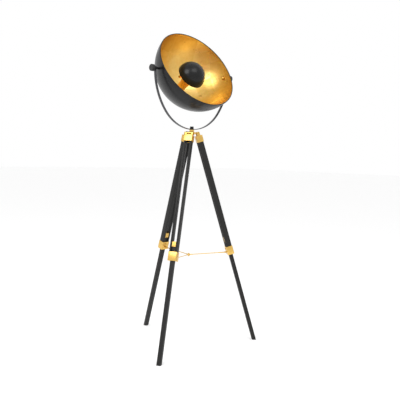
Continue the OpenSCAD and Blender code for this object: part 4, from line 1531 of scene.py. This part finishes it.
@dataclass(frozen=True)
class Panel:
    """A rectangular light that faces the lamp's head: angles in degrees, power in watts."""

    name: str
    bearing: float
    rise: float
    distance: float
    size: Point2
    power: float

    def build(self, target: Vector) -> None:
        """Hangs the panel at its distance from the target.

        Args:
            target: What it faces.
        """
        turn, lift = math.radians(self.bearing), math.radians(self.rise)
        away = Vector((math.cos(lift) * math.cos(turn), math.cos(lift) * math.sin(turn), math.sin(lift)))
        data = bpy.data.lights.new(self.name, "AREA")
        data.shape = "RECTANGLE"
        data.size, data.size_y = self.size
        data.energy = self.power
        light = show(self.name, data)
        light.location = target + away * self.distance
        light.rotation_euler = (-away).to_track_quat("-Z", "Y").to_euler()


@dataclass(frozen=True)
class Studio:
    """Floor, light and camera."""

    distance: float = 2.6463
    camera_height: float = 0.8822
    bearing: float = 50.0
    swing: float = 1.008
    dip: float = 4.404
    roll: float = 1.481
    lens: float = 51.1
    floor_half: float = 30.0
    floor_tone: float = 0.97
    head_height: float = 1.2
    world_strength: float = 1.0
    panels: tuple[Panel, ...] = (
        Panel("key", bearing=-165, rise=28, distance=3.0, size=(1.6, 1.6), power=38),
        Panel("front", bearing=-100, rise=40, distance=3.0, size=(1.8, 1.2), power=24),
    )

    def build(self, axis: Vector) -> None:
        """Sets up the studio round the tripod's axis.

        Args:
            axis: A point on the tripod's axis.
        """
        bpy.context.scene.view_settings.view_transform = "Standard"
        self.camera(axis)
        self.floor()
        self.lights(axis)

    def camera(self, axis: Vector) -> None:
        """The camera, turned, dipped and rolled as seen."""
        towards = math.radians(self.bearing)
        flat = Vector((math.cos(towards), math.sin(towards), 0))
        location = Vector((axis.x, axis.y, self.camera_height)) - flat * self.distance
        aim = math.radians(self.bearing - self.swing)
        dip = math.radians(self.dip)
        forward = Vector((math.cos(dip) * math.cos(aim), math.cos(dip) * math.sin(aim), -math.sin(dip)))
        right = forward.cross(Vector((0, 0, 1))).normalized()
        up = right.cross(forward)
        roll = math.radians(self.roll)
        cos, sin = math.cos(roll), math.sin(roll)
        right, up = right * cos + up * sin, up * cos - right * sin
        data = bpy.data.cameras.new("camera")
        data.lens = self.lens
        data.sensor_width = 36.0
        camera = show("camera", data)
        camera.matrix_world = axes(right, up, -forward, location)
        bpy.context.scene.camera = camera

    def floor(self) -> None:
        """A pale, matt floor."""
        half, tone = self.floor_half, self.floor_tone
        corners = [Vector((x * half, y * half, 0)) for x, y in ((-1, -1), (1, -1), (1, 1), (-1, 1))]
        floor = link_mesh("studio_floor", corners, [(0, 1, 2, 3)])
        material = bpy.data.materials.new("studio_floor")
        material.use_nodes = True
        shader = material.node_tree.nodes["Principled BSDF"]
        shader.inputs["Base Color"].default_value = (tone, tone, tone, 1)
        shader.inputs["Roughness"].default_value = 0.9
        shader.inputs["Specular IOR Level"].default_value = 0.1
        floor.data.materials.append(material)

    def lights(self, axis: Vector) -> None:
        """Soft light from all round, with large panels in front, at the left and above."""
        world = bpy.data.worlds.new("studio")
        world.use_nodes = True
        background = world.node_tree.nodes["Background"]
        background.inputs["Color"].default_value = (1.0, 1.0, 1.0, 1)
        background.inputs["Strength"].default_value = self.world_strength
        bpy.context.scene.world = world
        for panel in self.panels:
            panel.build(Vector((axis.x, axis.y, self.head_height)))


def build_lamp() -> None:
    """Builds every sub-assembly in order."""
    places = Places(frame["record"])
    crew = Crew(Palette())
    Head(crew, places).build()
    Yoke(crew, places).build()
    screws = SlottedScrews()
    for seed, side in enumerate(Side, start=1):
        Leg(crew, places, side, seed).build(screws)
    Spreader(crew, places).build()
    Studio().build(places.pivot)


def main() -> None:
    """Builds the lamp."""
    logging.basicConfig(level=logging.INFO, format="%(message)s")
    build_lamp()


if __name__ == "__main__":
    main()
